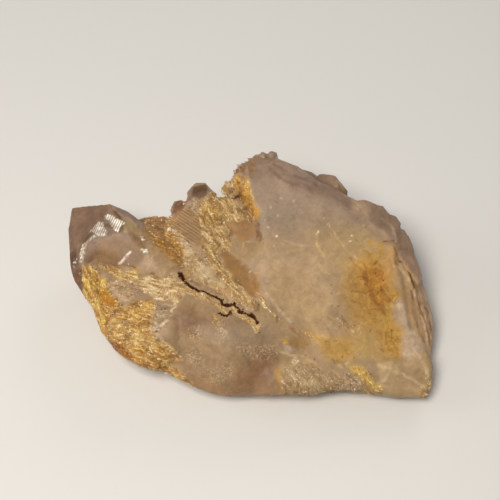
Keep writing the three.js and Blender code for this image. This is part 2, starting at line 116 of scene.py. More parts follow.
# %% Lights
WARM = (1.0, 0.95, 0.88)
NEUTRAL = (1.0, 0.98, 0.95)
SKY_COLOUR = (0.9, 0.9, 0.9, 1)
SKY_STRENGTH = 0.2


def soft_lamp(name, place, width, power, tint):
    """A square lamp of that width at place, turned to the middle of the stone: its pitch is the angle
    between the way there and straight down, and its yaw the way's direction on the floor."""
    data = bpy.data.lights.new(name, "AREA")
    data.size = width
    data.energy = power
    data.color = tint
    lamp = shown(name, data)
    lamp.location = place
    away = spot(50, 50, 40) - np.array(place)
    yaw = math.atan2(away[1], away[0])
    pitch = math.atan2(math.hypot(away[0], away[1]), -away[2])
    lamp.rotation_euler = (pitch, 0, yaw - math.pi / 2)


bpy.context.scene.view_settings.view_transform = "Standard"
soft_lamp("key", (-0.12, -0.2, 0.48), 0.2, 2.35, WARM)
soft_lamp("left fill", (-0.5, 0.05, 0.25), 0.3, 0.6, NEUTRAL)
soft_lamp("back rim", (0.25, 0.5, 0.3), 0.3, 0.7, NEUTRAL)

world = bpy.data.worlds.new("pale sky")
bpy.context.scene.world = world
world.use_nodes = True
sky = world.node_tree.nodes["Background"].inputs
sky["Color"].default_value = SKY_COLOUR
sky["Strength"].default_value = SKY_STRENGTH
print("three lamps and a pale sky")

# %% [markdown]
# The floor is one plain square, much wider than the view. It isn't part of the stone. Its finish comes
# at the end, with the others.

# %% Floor
FLOOR_HALF = 0.9
FLOOR_CORNERS = ((-1, -1), (1, -1), (1, 1), (-1, 1))
floor_mesh = bpy.data.meshes.new("floor")
floor_points = [(x * FLOOR_HALF, y * FLOOR_HALF, low[2]) for x, y in FLOOR_CORNERS]
floor_mesh.from_pydata(floor_points, [], [(0, 1, 2, 3)])
floor = shown("floor", floor_mesh)
print("the floor is", 2 * FLOOR_HALF, "m wide")

# %% [markdown]
# Nature has no straight boundaries, so every mask and every relief below is bent by noise. This noise
# gives each corner of a grid of small cubes a random number, the same on every run, and blends the
# eight corners round a point. Octaves of it, each half as large and half as strong, look like rock.
# Blender's noise textures could do the same in a material, but these masks also shape the mesh.

# %% Noise in arrays
HASH = np.array([127.1, 311.7, 74.7])
HASH_SEED = 17.17
HASH_SCALE = 43758.5453


def corner_value(cells, seed):
    """A number from 0 to 1 for each row of whole numbers: the broken part of a large sine."""
    mixed = np.sin(cells @ HASH + seed * HASH_SEED) * HASH_SCALE
    return mixed - np.floor(mixed)


def noise(points, pitch, seed=0):
    """Smooth noise from -1 to 1, with lumps about pitch metres wide."""
    places = points / pitch
    cells = np.floor(places)
    part = places - cells
    ease = part * part * (3 - 2 * part)
    total = 0
    for corner in np.ndindex(2, 2, 2):
        weights = np.where(np.array(corner), ease, 1 - ease)
        total = total + corner_value(cells + corner, seed) * weights.prod(axis=1)
    return 2 * total - 1


def rocky(points, pitch, octaves, seed=0, fade=0.5):
    """Octaves of noise added up, each half as wide as the last and fade times as strong."""
    layers = [noise(points, pitch / 2**i, seed + i) * fade**i for i in range(octaves)]
    return sum(layers) / sum(fade**i for i in range(octaves))


def step(values, start, end):
    """0 before start, 1 after end, and an S-shaped curve between them."""
    share = np.clip((values - start) / (end - start), 0, 1)
    return share * share * (3 - 2 * share)


print("noise of the middle:", np.round(noise(spot(50, 50, 50)[None], 0.01), 3))

# %% [markdown]
# Two kinds of mask say where a finish lies, both seen in plan. A patch is the inside of an outline, and
# a streak is what lies near a bent line. Both take a soft edge. Masks could be painted on the mesh
# with a brush instead, but a short list of corners is exact, and is easy to move.

# %% Masks in plan


def to_line(points, start, end):
    """Distance from each point to the straight piece from start to end, in plan."""
    along = end - start
    share = np.clip((points - start) @ along / (along @ along), 0, 1)
    return np.linalg.norm(points - start - share[:, None] * along, axis=1)


def patch(points, outline, soft):
    """1 inside the outline and 0 outside, with an edge soft millimetres wide. A point is inside when a
    line from it to the right crosses the outline an odd number of times."""
    ring = plan(outline)
    flat = points[:, :2]
    near = np.full(len(flat), np.inf)
    inside = np.zeros(len(flat), bool)
    for start, end in zip(ring, np.roll(ring, -1, axis=0)):
        near = np.minimum(near, to_line(flat, start, end))
        spans = (start[1] > flat[:, 1]) != (end[1] > flat[:, 1])
        rise = end[1] - start[1]
        across = start[0] + (end[0] - start[0]) * (flat[:, 1] - start[1]) / (rise or 1)
        inside ^= spans & (flat[:, 0] < across)
    signed = np.where(inside, near, -near)
    return step(signed, -soft * MM / 2, soft * MM / 2)


def streak(points, line, half_width, soft):
    """1 within half_width millimetres of the bent line, fading over soft millimetres."""
    knots = plan(line)
    near = np.full(len(points), np.inf)
    for start, end in zip(knots[:-1], knots[1:]):
        near = np.minimum(near, to_line(points[:, :2], start, end))
    return 1 - step(near, half_width * MM, (half_width + soft) * MM)


def spots(points, places, radius, soft):
    """1 within radius millimetres of any of the places, fading over soft millimetres."""
    near = np.full(len(points), np.inf)
    for x, y in plan(places):
        near = np.minimum(near, np.hypot(points[:, 0] - x, points[:, 1] - y))
    return 1 - step(near, radius * MM, (radius + soft) * MM)


middle_point = spot(50, 50, 50)[None]
print("a patch over the middle:", patch(middle_point, [(40, 40), (60, 40), (50, 60)], 1))

# %% [markdown]
# Masks also go by height and along the box, for the parts that no outline has to follow. Points that
# are first moved about a little by noise give any mask a natural edge, so nothing else is needed.

# %% Masks by height and length


def climb(points, start, end):
    """0 below start metres over the floor, 1 above end, and an S-shaped curve between them."""
    return step(points[:, 2], low[2] + start, low[2] + end)


def along(points, axis, start, end):
    """0 before start and 1 after end, in hundredths of the box: axis 0 is across, and 1 is deep."""
    return step(points[:, axis], *plan([(start, start), (end, end)])[:, axis])


def bent(points, amount, pitch, seed=0):
    """The points moved about by noise, up to amount metres each way, so that masks get ragged edges."""
    moves = [rocky(points, pitch, 3, seed + 40 * k) for k in range(3)]
    return points + amount * np.stack(moves, axis=1)


print("the middle of the stone is past half its height:", climb(middle_point, 0, size[2])[0] > 0.5)

# %% [markdown]
# The finest details come first, because the net of the next step has to be densest under them: the
# crack with its branch, the growth stripes on the middle blade, the faces of the point that throw back
# the lamp, the bright rim beside them, and the thin pages of quartz at the right end.

# %% The finest details
CRACK = [
    (31.5, 45.6), (32.1, 43.7), (32.6, 42.3), (33.4, 40.9), (34.5, 39.4), (35.9, 38), (36.9, 37),
    (38, 36.8), (39.3, 36), (40.7, 34.6), (42, 33.7), (42.8, 32.8), (43.3, 30.8), (44.4, 30.2),
    (45.2, 30.4), (45.6, 31.2), (46, 31.8), (46.7, 29.8), (47.8, 28.5), (49.3, 27), (50.9, 25.4),
    (51.9, 24.4), (52.4, 22.4),
]
CRACK_BRANCH = [(42.2, 27.1), (43.3, 26.1), (44.4, 25.9), (45.1, 28), (46.3, 27.6)]
STRIPES = [
    (28.4, 68.8), (29.3, 65.5), (31, 62.3), (33.2, 59.1), (36.4, 56.5), (40, 58), (41, 62), (40, 67),
    (37.5, 71), (35.5, 74), (33, 76), (31, 74),
]
BRIGHT_FACES = [
    [(7, 66.3), (9.4, 69.1), (10.5, 68.5), (11.9, 65.2), (11.4, 64.1), (9.2, 63.8)],
    [(11.3, 71.2), (12.4, 72.3), (13.7, 71.4), (14.3, 69.8), (13, 69.1), (11.9, 69.6)],
    [(13, 69.1), (14.6, 69.8), (16.5, 69), (17, 67.7), (15.2, 65.8), (14.4, 64.3), (13.3, 65.5)],
]
RIM = [(4.9, 54.7), (4.6, 56.9), (4.9, 58.7), (5.4, 60.6), (6.5, 62.2), (7.6, 63.2), (8.7, 64.3)]
PAGES = [(91, 54), (97, 46), (102, 30), (102, 18), (97, 18), (93, 28), (91, 40)]


def detail_share(points):
    """1 where the net has to be finest: near the crack, the stripes, the bright faces and the pages."""
    share = np.maximum(streak(points, CRACK, 0.9, 0.1), streak(points, CRACK_BRANCH, 0.7, 0.1))
    for outline in (STRIPES, PAGES, *BRIGHT_FACES):
        share = np.maximum(share, patch(points, outline, 0.5))
    return share


print("the crack bends", len(CRACK) - 2, "times, and", len(BRIGHT_FACES), "faces shine")

# %% [markdown]
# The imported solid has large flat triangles, with nothing to carry a fine relief. So a copy of it is
# rebuilt as an even net of small squares, which is then pulled back onto the solid. The squares that
# look up are cut in four, and those of the finest details in sixteen, because that is what one sees
# first. The solid itself stays hidden underneath, for the physics. The relief could also be sculpted
# by hand with brushes, but a net of points can be moved by formulas, the same on every run.

# %% Nets and modifiers


def read(items, key, width, kind=float):
    """One row of numbers for each of the items of a mesh."""
    flat = np.empty(len(items) * width, kind)
    items.foreach_get(key, flat)
    return flat.reshape(-1, width)


def finer(mesh, chosen):
    """The chosen faces cut in four, with the faces beside them fitted to the new corners."""
    mesh.polygons.foreach_set("select", chosen)
    work = bmesh.new()
    work.from_mesh(mesh)
    edges = list({edge for face in work.faces if face.select for edge in face.edges})
    bmesh.ops.subdivide_edges(work, edges=edges, cuts=1, use_grid_fill=True)
    work.to_mesh(mesh)
    work.free()


def with_modifier(mesh, kind, settings):
    """The mesh after one modifier with those settings."""
    item = shown("item", mesh)
    modifier = item.modifiers.new(kind, kind)
    for key, value in settings.items():
        setattr(modifier, key, value)
    graph = bpy.context.evaluated_depsgraph_get()
    result = bpy.data.meshes.new_from_object(item.evaluated_get(graph))
    bpy.data.objects.remove(item)
    return result


merged = bpy.data.meshes.new("merged")
work = bmesh.new()
work.from_mesh(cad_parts[STONE].data)
bmesh.ops.remove_doubles(work, verts=work.verts, dist=1e-7)
work.to_mesh(merged)
work.free()
print("the solid has", len(merged.vertices), "points once its doubles are merged")

# %% A net over the solid
NET_PITCH = 0.00074
LOOK = np.array([0, -0.5, 0.866])  # roughly the way to the camera
LOOKS_UP = 0.12  # a face's share of that way, above which its squares are cut

net = with_modifier(merged, "REMESH", {"mode": "VOXEL", "voxel_size": NET_PITCH})
for level in range(2):
    middles = read(net.polygons, "center", 3)
    facing = read(net.polygons, "normal", 3) @ LOOK
    chosen = facing > LOOKS_UP
    if level:
        chosen &= detail_share(middles) > 0.5
    finer(net, chosen)
solid = shown("solid", merged)
net = with_modifier(net, "SHRINKWRAP", {"target": solid, "wrap_method": "NEAREST_SURFACEPOINT"})
bpy.data.objects.remove(solid)
net.calc_loop_triangles()
base = read(net.vertices, "co", 3)
triangles = read(net.loop_triangles, "vertices", 3, np.int64)
print(len(base), "points,", len(triangles), "triangles in the net")

# %% [markdown]
# From here on the stone is two arrays, its points and its triangles. A point's normal says which way
# the surface looks there, and the mean of its neighbours says where a smooth surface would run. A
# Smooth modifier would round the whole stone alike, while this takes a weight for each point.

# %% Normals and smoothing


def normals_of(points):
    """Outward unit normals: each triangle's crossed edges, added at its corners, made length 1."""
    a, b, c = (points[triangles[:, k]] for k in range(3))
    facing = np.cross(b - a, c - a)
    total = np.stack(
        [np.bincount(triangles.ravel(), np.repeat(facing[:, k], 3), len(points)) for k in range(3)],
        axis=1,
    )
    return total / np.maximum(np.linalg.norm(total, axis=1, keepdims=True), 1e-15)


pairs = np.sort(triangles[:, [0, 1, 1, 2, 2, 0]].reshape(-1, 2), axis=1)
pairs = np.unique(pairs[:, 0] * len(base) + pairs[:, 1])
edges = np.stack([pairs // len(base), pairs % len(base)], axis=1)
neighbours = np.bincount(edges.ravel(), minlength=len(base))[:, None]


def neighbour_mean(values):
    """The mean of each point's neighbours, for rows of numbers."""
    columns = []
    for column in values.T:
        total = np.bincount(edges[:, 0], column[edges[:, 1]], len(values))
        total += np.bincount(edges[:, 1], column[edges[:, 0]], len(values))
        columns.append(total)
    return np.stack(columns, axis=1) / neighbours


GO_IN = 0.55
GO_OUT = 0.57


def smoothed(points, weight, rounds):
    """Each point goes weight of the way to its neighbours' mean, then a little more of the way back
    out, which takes the corners off without shrinking the stone."""
    for _ in range(rounds):
        points = points + GO_IN * weight * (neighbour_mean(points) - points)
        points = points - GO_OUT * weight * (neighbour_mean(points) - points)
    return points


print("mean normal of the stone:", np.round(normals_of(base).mean(axis=0), 2))

# %% [markdown]
# Sugar is what collectors call a crust of quartz crystals less than a millimetre long. It grew where
# the blades meet, and at the left end. Each outline is a list of corners in plan, with the left end
# at 0 across and the front at 0 deep. Noise alone could spread it too, but it wouldn't leave the right
# faces bare.

# %% Where the sugar lies
SUGAR = {
    "gold left": [
        (5.3, 52.2), (8.5, 50.5), (10.5, 48), (11, 45), (13.5, 40), (15.5, 33.5), (17.5, 29),
        (14.5, 29.5), (13.5, 27), (14.5, 18), (-6, 18), (-6, 41), (3.5, 43.5), (5, 46),
    ],
    "gold field": [
        (14, 31), (17.5, 29), (19.5, 32.5), (25.5, 34), (26, 27.5), (24.5, 22.5), (25.5, 19),
        (27, 16.5), (29.5, 14.5), (32, 12.5), (33, 11), (29.5, 11), (32, 8), (35.5, 4), (33, -8),
        (8, -8), (8, 20),
    ],
    "arch": [
        (10.5, 50.5), (13, 52.5), (15.5, 50.5), (16.5, 48.5), (20, 50.5), (20.5, 46.5), (18, 44.5),
        (15, 45), (13, 47.5),
    ],
    "arch tip": [(17.5, 53.5), (20.5, 51), (21, 50), (18, 51)],
    "pale sugar": [
        (20.5, 45.5), (24.5, 49.5), (29, 44.5), (32, 41), (34, 38.5), (33, 34), (31.5, 30.5),
        (29.5, 34), (25.5, 34.5), (23, 38), (21.5, 39),
    ],
    "striped blade": [
        (38, 75), (42, 91), (46.5, 77), (50, 71), (52, 67), (44.5, 68.5), (44.5, 63), (46.5, 57),
        (46, 54.5), (42.5, 55.5), (42, 51), (45, 45), (48, 38.5), (51.5, 31.5), (53.5, 26), (51.5, 28),
        (47.5, 35), (44, 39.5), (40.5, 46.5), (38.5, 52), (38, 57.5), (38, 63), (36.5, 69),
    ],
}
CRUMBS = [
    [(36.5, 35.6), (40, 35.5), (43, 32), (41, 31), (38.5, 32)],
    [(43, 30.5), (46, 30.3), (49, 28), (47.2, 26.6), (43.2, 28.8)],
    [(41, 27.4), (42.8, 27.5), (43.1, 23), (42.3, 19.7), (41.3, 21.3)],
]
SEAM = [
    (52.2, 36.9), (53.5, 33.4), (55.1, 29.9), (56.9, 25.5), (59.5, 23.3), (62.1, 22.3), (64.8, 21.4),
    (66.6, 20.8),
]
print("sugar on", ", ".join(SUGAR), "and in", len(CRUMBS), "heaps by the crack")

# %% [markdown]
# Elsewhere the sugar is so thin that the quartz shows through it, so it gets outlines of its own with
# a smaller share. In two places orange iron has run over it and sealed it, like resin.

# %% Where the sugar is thin or sealed
THIN_SUGAR = {
    "striped corner": [(31.5, 78), (35.5, 79.5), (38, 81), (40.5, 78.5), (38.5, 72.5), (36, 72.5)],
    "pale lip": [
        (29, 65), (32, 63), (35.5, 56), (37.5, 51.5), (38.5, 44.5), (42.5, 42.5), (46.5, 39),
        (50.5, 32), (52, 26.5), (49, 30), (45, 33.5), (40.5, 38), (36.5, 41), (34, 44), (33, 49.5),
        (32.5, 55), (30, 61),
    ],
    "white patch": [
        (25, 24.5), (26.5, 32.5), (30, 32.5), (31, 28.5), (29.5, 23.5), (27.5, 20.5), (26, 20.5),
    ],
    "ledge crumbs": [(59.5, 8), (64, 10), (69, 9), (74, 6), (75, 0), (74, -8), (60, -8), (58.5, 2)],
    "yellow band": [(72, 12), (76.5, 10.5), (81, 9.5), (83, 5), (85, 1), (84, -8), (76, -8), (75, 8)],
    "orange wall": [
        (47, 85.6), (50, 82.9), (50.4, 78.7), (51, 74.7), (52.5, 70.5), (52.5, 66.5), (51, 68.6),
        (49.7, 73.2), (47.9, 77.9), (46.3, 78.8), (45.6, 81.3), (45.8, 83.8),
    ],
    "milky patch": [
        (12.5, 42), (15.5, 44.5), (20, 45.5), (21, 38.5), (20, 34), (17.5, 32.5), (15.5, 34),
        (14, 38.5),
    ],
    "saddle top": [(21.8, 80), (24, 82), (29.5, 76), (29.8, 70), (28, 68.5), (25, 70), (22, 72.5)],
    "amber": [(22.5, 72), (28.5, 70), (31.5, 60), (32.5, 52), (30, 54), (26, 60), (22.5, 66)],
    "upper veil": [(73, 29), (76, 28), (80, 26), (79.5, 23.5), (76, 24.5), (73, 27)],
}
RESIN = [
    [(10.1, 39.8), (12, 40.1), (14.3, 36), (15.2, 32.7), (14.4, 31), (12, 34.2), (10.4, 37.6)],
    [
        (12.4, 22.6), (14.2, 20), (16.4, 16.2), (18.3, 13.9), (20.2, 12.1), (19, 9), (15.5, 11),
        (12.5, 17),
    ],
]
print("thin sugar on", ", ".join(THIN_SUGAR))

# %% [markdown]
# The outlines become one number for each point of the net: how much sugar there is. Noise frays their
# edges into feathers, as the crust breaks up into single crystals where it ends. The back and the
# foot have no outlines, and get their sugar by noise. Crumbs of it also lie along the crack and the
# seam.

# %% Sugar crust
CRUMB_SHIFT = 0.0013  # how far in front of the crack its crumbs lie, in metres

# The points moved about in three ways, for masks with ragged, wavering and feathery edges.
ragged = bent(base, 0.0012, 0.004)
wavering = bent(base, 0.0005, 0.002, 9)
feathers = 0.9 * rocky(bent(base, 0.0008, 0.002, 57), 0.0016, 3, 51)
sugar = np.zeros(len(base))
for share, areas in ((1, SUGAR), (0.35, THIN_SUGAR)):
    for name, outline in areas.items():
        here = patch(ragged, outline, 1.7)
        here = share * step(here + feathers, 0.3, 0.75) * step(here, 0.02, 0.2)
        print(f"sugar on the {name}: {here.mean():.3f} of the stone")
        sugar = np.maximum(sugar, here)
in_front = base + np.array([0, CRUMB_SHIFT, 0])
crumbs = streak(in_front, CRACK, 0.4, 1.0) * step(feathers, -0.12, 0.05)
crumbs = np.maximum(crumbs, streak(wavering, SEAM, 0.3, 0.5) * step(feathers, -0.15, 0.1))
for outline in CRUMBS:
    crumbs = np.maximum(crumbs, patch(wavering, outline, 0.9) * step(feathers, -0.2, 0.05))
sugar = np.maximum(sugar, 0.9 * crumbs)
sugar *= 1 - 0.85 * np.maximum(patch(wavering, RESIN[0], 0.8), patch(wavering, RESIN[1], 0.8))
back = along(base, 1, 84, 96) * climb(base, 0.022, 0.012)
side = step(rocky(base, 0.012, 3, 61), 0.0, 0.25)
hidden_sugar = np.maximum(back, 1 - climb(base, 0.003, 0.010)) * side
sugar = np.maximum(sugar, 0.9 * hidden_sugar)
print(f"sugar in all: {sugar.mean():.3f} of the stone")

# %% [markdown]
# Most of this quartz is milky, full of bubbles too small to see. Clear quartz lies in the smoky point,
# in the tips behind it and in the thin edge on the right. A second body of glass inside the stone
# could show that, but one number that mixes two materials does it without a seam.

# %% Clear quartz
POINT = [(-6, 50), (-6, 90), (24, 86), (24, 70), (19, 60), (12, 62), (6, 60), (3.5, 54)]
POINT_FRONT = [
    (5.2, 54.7), (5.4, 58.3), (5.9, 60.8), (7.3, 62.7), (11.1, 63.7), (13.8, 63.9), (17.7, 63.4),
    (20.3, 63.2), (21.7, 59.2), (22, 54.6), (20.1, 51.8), (15.3, 51.5), (10.2, 49.9),
]
POINT_BAND = [(4, 57), (7, 63), (11, 70), (13, 74), (19.5, 70.5), (22, 66), (22, 60), (12, 61), (6, 58)]
TIPS = ([(29, 72), (29, 84), (33.5, 82), (33, 75)], [(33.5, 79.5), (33, 92), (41, 92), (39.5, 80.5)])
RIGHT_BAND = [
    (82, 67), (86, 64), (88, 59), (90.5, 60), (91, 54), (93.5, 49.5), (96.5, 44.5), (104, 44),
    (104, 80), (84, 84),
]
BEVEL = [
    (46, 91), (50.5, 82), (57.5, 83), (62, 78.5), (65, 78.5), (70, 76), (75, 73.5), (78.5, 67.5),
    (81.5, 66), (86, 64), (100, 80), (80, 106), (46, 106),
]
SADDLE = [(21.5, 66), (21.5, 82), (29.5, 74), (30, 66), (32.5, 56), (32.5, 51), (30, 54), (26, 60)]
TIPS_FROM = 0.015  # the height above which the tips stand free, in metres

clear = 0.6 * patch(ragged, POINT, 2)
clear *= 1 - 0.85 * np.maximum(patch(ragged, POINT_FRONT, 1), patch(ragged, POINT_BAND, 1))
for tip in TIPS:
    clear = np.maximum(clear, 0.7 * patch(base, tip, 1.2) * (base[:, 2] > low[2] + TIPS_FROM))
clear = np.maximum(clear, 0.35 * patch(ragged, RIGHT_BAND, 2))
clear = np.maximum(clear, 0.25 * patch(ragged, BEVEL, 3))
clear = np.maximum(clear, 0.3 * patch(ragged, SADDLE, 2)) * (1 - 0.8 * sugar)
print(f"clear quartz: {clear.mean():.3f} of the stone")

# %% [markdown]
# Iron came down the cracks on the right, and left yellow veils with a brown heart. One blurred spot
# could stand for them, but the real stain ends sharply at a cleft and fades slowly elsewhere. So each
# veil has a strength, and a softness in millimetres that says how far it crept into the quartz.

# %% Iron
IRON_FIELD = [
    (76.5, 47.5), (77.8, 51.5), (80.6, 54.5), (84.5, 56), (86.8, 54), (86.7, 47.3), (88.1, 39.4),
    (90.2, 37.2), (88.8, 32.4), (88.2, 26.5), (90.5, 22.8), (90.1, 17), (88.7, 13.8), (85.5, 13.6),
    (85.1, 18.6), (82.5, 23.4), (79.4, 25.5), (76.8, 29.6), (75.3, 36.2), (75.9, 43.3),
]
IRON_CORE = [
    (80.3, 50.8), (83, 51), (86.2, 48.8), (87.1, 42.1), (88.1, 36.3), (86.9, 31.5), (84.3, 32.1),
    (82.7, 35.9), (80.6, 39.7), (79.6, 45.2),
]
IRON_EAST = [
    (87.9, 41), (90.3, 39.6), (89.7, 36.4), (88, 31.6), (87.9, 26.5), (90.5, 23.2), (90.4, 16.2),
    (89.2, 13.8), (87.1, 14.5), (86.2, 20.6), (86.3, 29.1), (87, 36.2),
]
LOW_VEIL = [
    (65, 22.5), (70.8, 20.8), (76.4, 21), (78.2, 17.9), (77.7, 13.1), (74, 10.2), (70.8, 12.7),
    (68, 17.2),
]
YELLOW_BAND = [
    (76.5, 10), (78.6, 10.5), (80.9, 9), (82.2, 6.7), (83.1, 4.7), (85, 1.8), (84.2, 1.9), (81.3, 4),
    (78.5, 6.5), (76.9, 8),
]
PLAIN_LENS = [
    (81.6, 23.2), (83.9, 22), (84.7, 18.7), (83.8, 14.9), (81.4, 13.7), (79.1, 14.6), (78.3, 18.2),
    (79.2, 21.7),
]
IRON = {
    "core": (1.0, 2.5, IRON_CORE),
    "field": (0.55, 6.0, IRON_FIELD),
    "east": (0.8, 1.5, IRON_EAST),
    "low veil": (0.5, 3.0, LOW_VEIL),
    "yellow band": (0.4, 2.0, YELLOW_BAND),
    "amber": (0.7, 2.0, SADDLE),
    "orange spots": (0.8, 1.0, [
        (61, 23), (64, 21.8), (67, 20), (66.5, 18.7), (63.5, 20.2), (60.8, 22),
    ]),
}
iron = np.zeros(len(base))
for strength, soft, outline in IRON.values():
    iron = np.maximum(iron, strength * patch(ragged, outline, soft))
iron *= 1 - 0.8 * patch(ragged, PLAIN_LENS, 1.5)
print(f"iron: {iron.mean():.3f} of the stone")

# %% [markdown]
# Two smaller things. White wisps hang in the domed front, where fluid was trapped as the crystal grew.
# And a few faces of the point, and a rim beside them, lie just so that they mirror the lamp: the finish
# makes them glossier, and the colours give them a painted highlight. Both are numbers for each point
# too, which the finish reads later.

# %% Wisps and gloss
BEIGE = [(22, 61), (26, 60.5), (30, 55), (30.5, 45), (24.5, 48.5), (21, 49.5), (21.5, 54)]
DOME = [
    (27.5, 16), (29.5, 20.5), (31, 28.5), (33.5, 34), (37.5, 31), (42.5, 30), (46.5, 25.5),
    (52.5, 22.5), (57, 18), (58.5, 11.5), (60, -8), (36, -8), (32, 9.5),
]
WISPS = [
    [(34.3, 21.1), (37.4, 21.4), (38.2, 17), (36.9, 14.7), (34.5, 16.5)],
    [(33.7, 14), (37.4, 13.6), (38.4, 9.3), (36.3, 7.2), (34.2, 10.5)],
    [(41.3, 24.7), (43.1, 24.7), (44.7, 18.1), (43.1, 14.5), (41.3, 18.1)],
    [(46.7, 15.2), (50.9, 15.3), (51.4, 12.2), (47.8, 11.4)],
    [(50.9, 14), (57.1, 15.2), (58.1, 11.5), (53.5, 9.4), (50.9, 10.4)],
    [(38.4, 7.4), (43.1, 8.2), (46.7, 7.6), (45.7, 3.5), (40.5, 2.4), (37.9, 3.8)],
]
wisps = np.maximum.reduce([patch(ragged, outline, 1.5) for outline in WISPS]) * 0.65
wisps = np.maximum(wisps, 0.07 * patch(ragged, DOME, 4))
wisps = np.maximum(wisps, 0.25 * patch(ragged, BEIGE, 3))
# The faces and the rim that mirror the lamp: glossier, and given a painted highlight later.
shine = np.maximum.reduce([patch(ragged, outline, 0.3) for outline in BRIGHT_FACES])
shine = np.maximum(shine, 0.8 * streak(wavering, RIM, 0.15, 0.35))
print(f"wisps {wisps.mean():.3f}, bright {shine.mean():.4f} of the stone")

# %% [markdown]
# Relief starts with wear. Crystals keep their flat faces, with their edges a little worn. Where the
# crystals grew into each other, and on the lumps in front, everything is rounded, and some valleys
# are filled. A Bevel modifier would round every edge alike, so the wear gets its own outlines.

# %% Where the stone is worn round
FRONT_LUMP = [
    (16, 36), (24, 46), (31, 44), (36, 35), (44, 30), (52, 23), (57, 18), (62, 14), (74, 6), (80, -6),
    (-6, -6), (-6, 52),
]
CONTACT = [
    (44, 60), (50, 62), (52.5, 72), (50, 86), (51.5, 88), (56, 70), (57, 56), (61, 40), (64, 27),
    (70, 20), (68, 14), (60, 12), (53, 24), (48, 34), (43, 46),
]
SHOULDER_EDGE = [
    (88.1, 65.5), (91.7, 67.3), (93.1, 58.6), (95, 50), (97.5, 45), (99.5, 34), (100, 22), (98, 17),
    (95.1, 16.5), (92.8, 27.6), (91.3, 38.6), (90.2, 53), (89, 58.2),
]
WALL_FOOT = [(44.8, 82), (48, 82), (51.5, 70), (50.5, 68), (47.5, 74), (45, 78.5)]
POINT_VALLEY = [
    (2.6, 66), (6, 68), (10.8, 67), (16.5, 66), (22.3, 73.9), (25.2, 67.2), (28.7, 52.6), (29.7, 42),
    (23.7, 44), (17.5, 49), (12.3, 49.5), (7.5, 49.5), (4.4, 54.8),
]
fine = detail_share(base)
near = np.maximum(streak(base, CRACK, 0.9, 0.6), streak(base, CRACK_BRANCH, 0.7, 0.5))
contact = np.maximum(patch(base, CONTACT, 2), patch(base, THIN_SUGAR["white patch"], 2))
lumps = np.maximum(patch(base, FRONT_LUMP, 3), 1 - climb(base, 0.010, 0.014))
lumps = np.maximum(lumps, contact)
open_parts = lumps * (1 - fine)
valleys = np.maximum(patch(base, POINT_VALLEY, 2), patch(base, WALL_FOOT, 1))
print(f"worn {open_parts.mean():.3f}, filled {valleys.mean():.3f} of the stone")

# %% Wear
ROUND_STEP = 0.6
FILL_STEP = 0.9


def rounded(points, weight, rounds):
    """Each point goes weight of the way to its neighbours' mean, again and again, which wears ridges
    down and fills notches."""
    for _ in range(rounds):
        points = points + ROUND_STEP * weight * (neighbour_mean(points) - points)
    return points


def filled(points, weight, rounds):
    """Points that lie below their neighbours' mean rise towards it, again and again, and the others
    stay, which fills a valley and leaves the slopes beside it."""
    for _ in range(rounds):
        rise = neighbour_mean(points[:, 2:3])[:, 0] - points[:, 2]
        lift = FILL_STEP * weight * np.maximum(rise, 0)
        points = points + np.stack([0 * rise, 0 * rise, lift], axis=1)
    return points


skin = smoothed(base, 0.35, 3)
for weight, rounds in (
    (0.8 * near, 14),
    (open_parts, 10),
    (contact * (1 - fine), 26),
    (0.8 * patch(base, SHOULDER_EDGE, 1.5), 30),
    (0.7 * patch(base, POINT_FRONT, 1), 20),
):
    skin = rounded(skin, weight[:, None], rounds)
skin = filled(skin, valleys, 120)
normals = normals_of(skin)
print("worn by up to", np.round(np.linalg.norm(skin - base, axis=1).max() / MM, 1), "mm")

# %% [markdown]
# Under the sugar crust the surface is crumbled in rows, because the fine crystals grew on the steps of
# the blades: nearly level rows at the left end, and steep ones on the striped blade. Waves would make
# them too even, so they are noise that has been drawn out along one direction.

# %% Rows
ROW_ANGLES = (-52, -64, -16)  # on the blades, at the left end and between them, in degrees


def combed(points, angle, stretch):
    """The points turned by angle degrees in plan and pressed together along their rows."""
    turn = math.radians(angle)
    down_row = points[:, 0] * math.cos(turn) + points[:, 1] * math.sin(turn)
    over_rows = points[:, 1] * math.cos(turn) - points[:, 0] * math.sin(turn)
    return np.stack([down_row * stretch, over_rows, points[:, 2] * 0.5], axis=1)


def row_shares(points):
    """How much the rows of each of the three directions hold at each point."""
    blades = along(points, 0, 34, 37)
    tongue = along(points, 0, 14, 11)
    return blades, tongue, (1 - blades) * (1 - tongue)


def in_rows(points, pitch, stretch, seed):
    """Noise drawn out along the rows of each zone."""
    wavy = bent(points, 0.0005, 0.004, 17)
    total = 0
    for angle, share in zip(ROW_ANGLES, row_shares(points)):
        total = total + share * rocky(combed(wavy, angle, stretch), pitch, 3, seed, 0.7)
    return total


left_end = along(base, 0, 37, 34)
rows = in_rows(skin, 0.0009, 0.3, 31)
print("rows from", np.round(rows.min(), 2), "to", np.round(rows.max(), 2))

# %% [markdown]
# The relief itself is a height for each point, along its normal: fine wear everywhere, lumps on the
# round parts, rows under the sugar, level growth lines on the far side, and the cut of the crack. A
# bump in the material could draw most of it, but a real edge of the mesh also shows in the outline.

# %% Relief
# How high each kind of relief stands, in metres.
WEAR = 0.00004
LUMPS = 0.00025
ROWS = 0.0002
GROWTH_LINES = 0.00016
CRACK_DEPTH = 0.0003

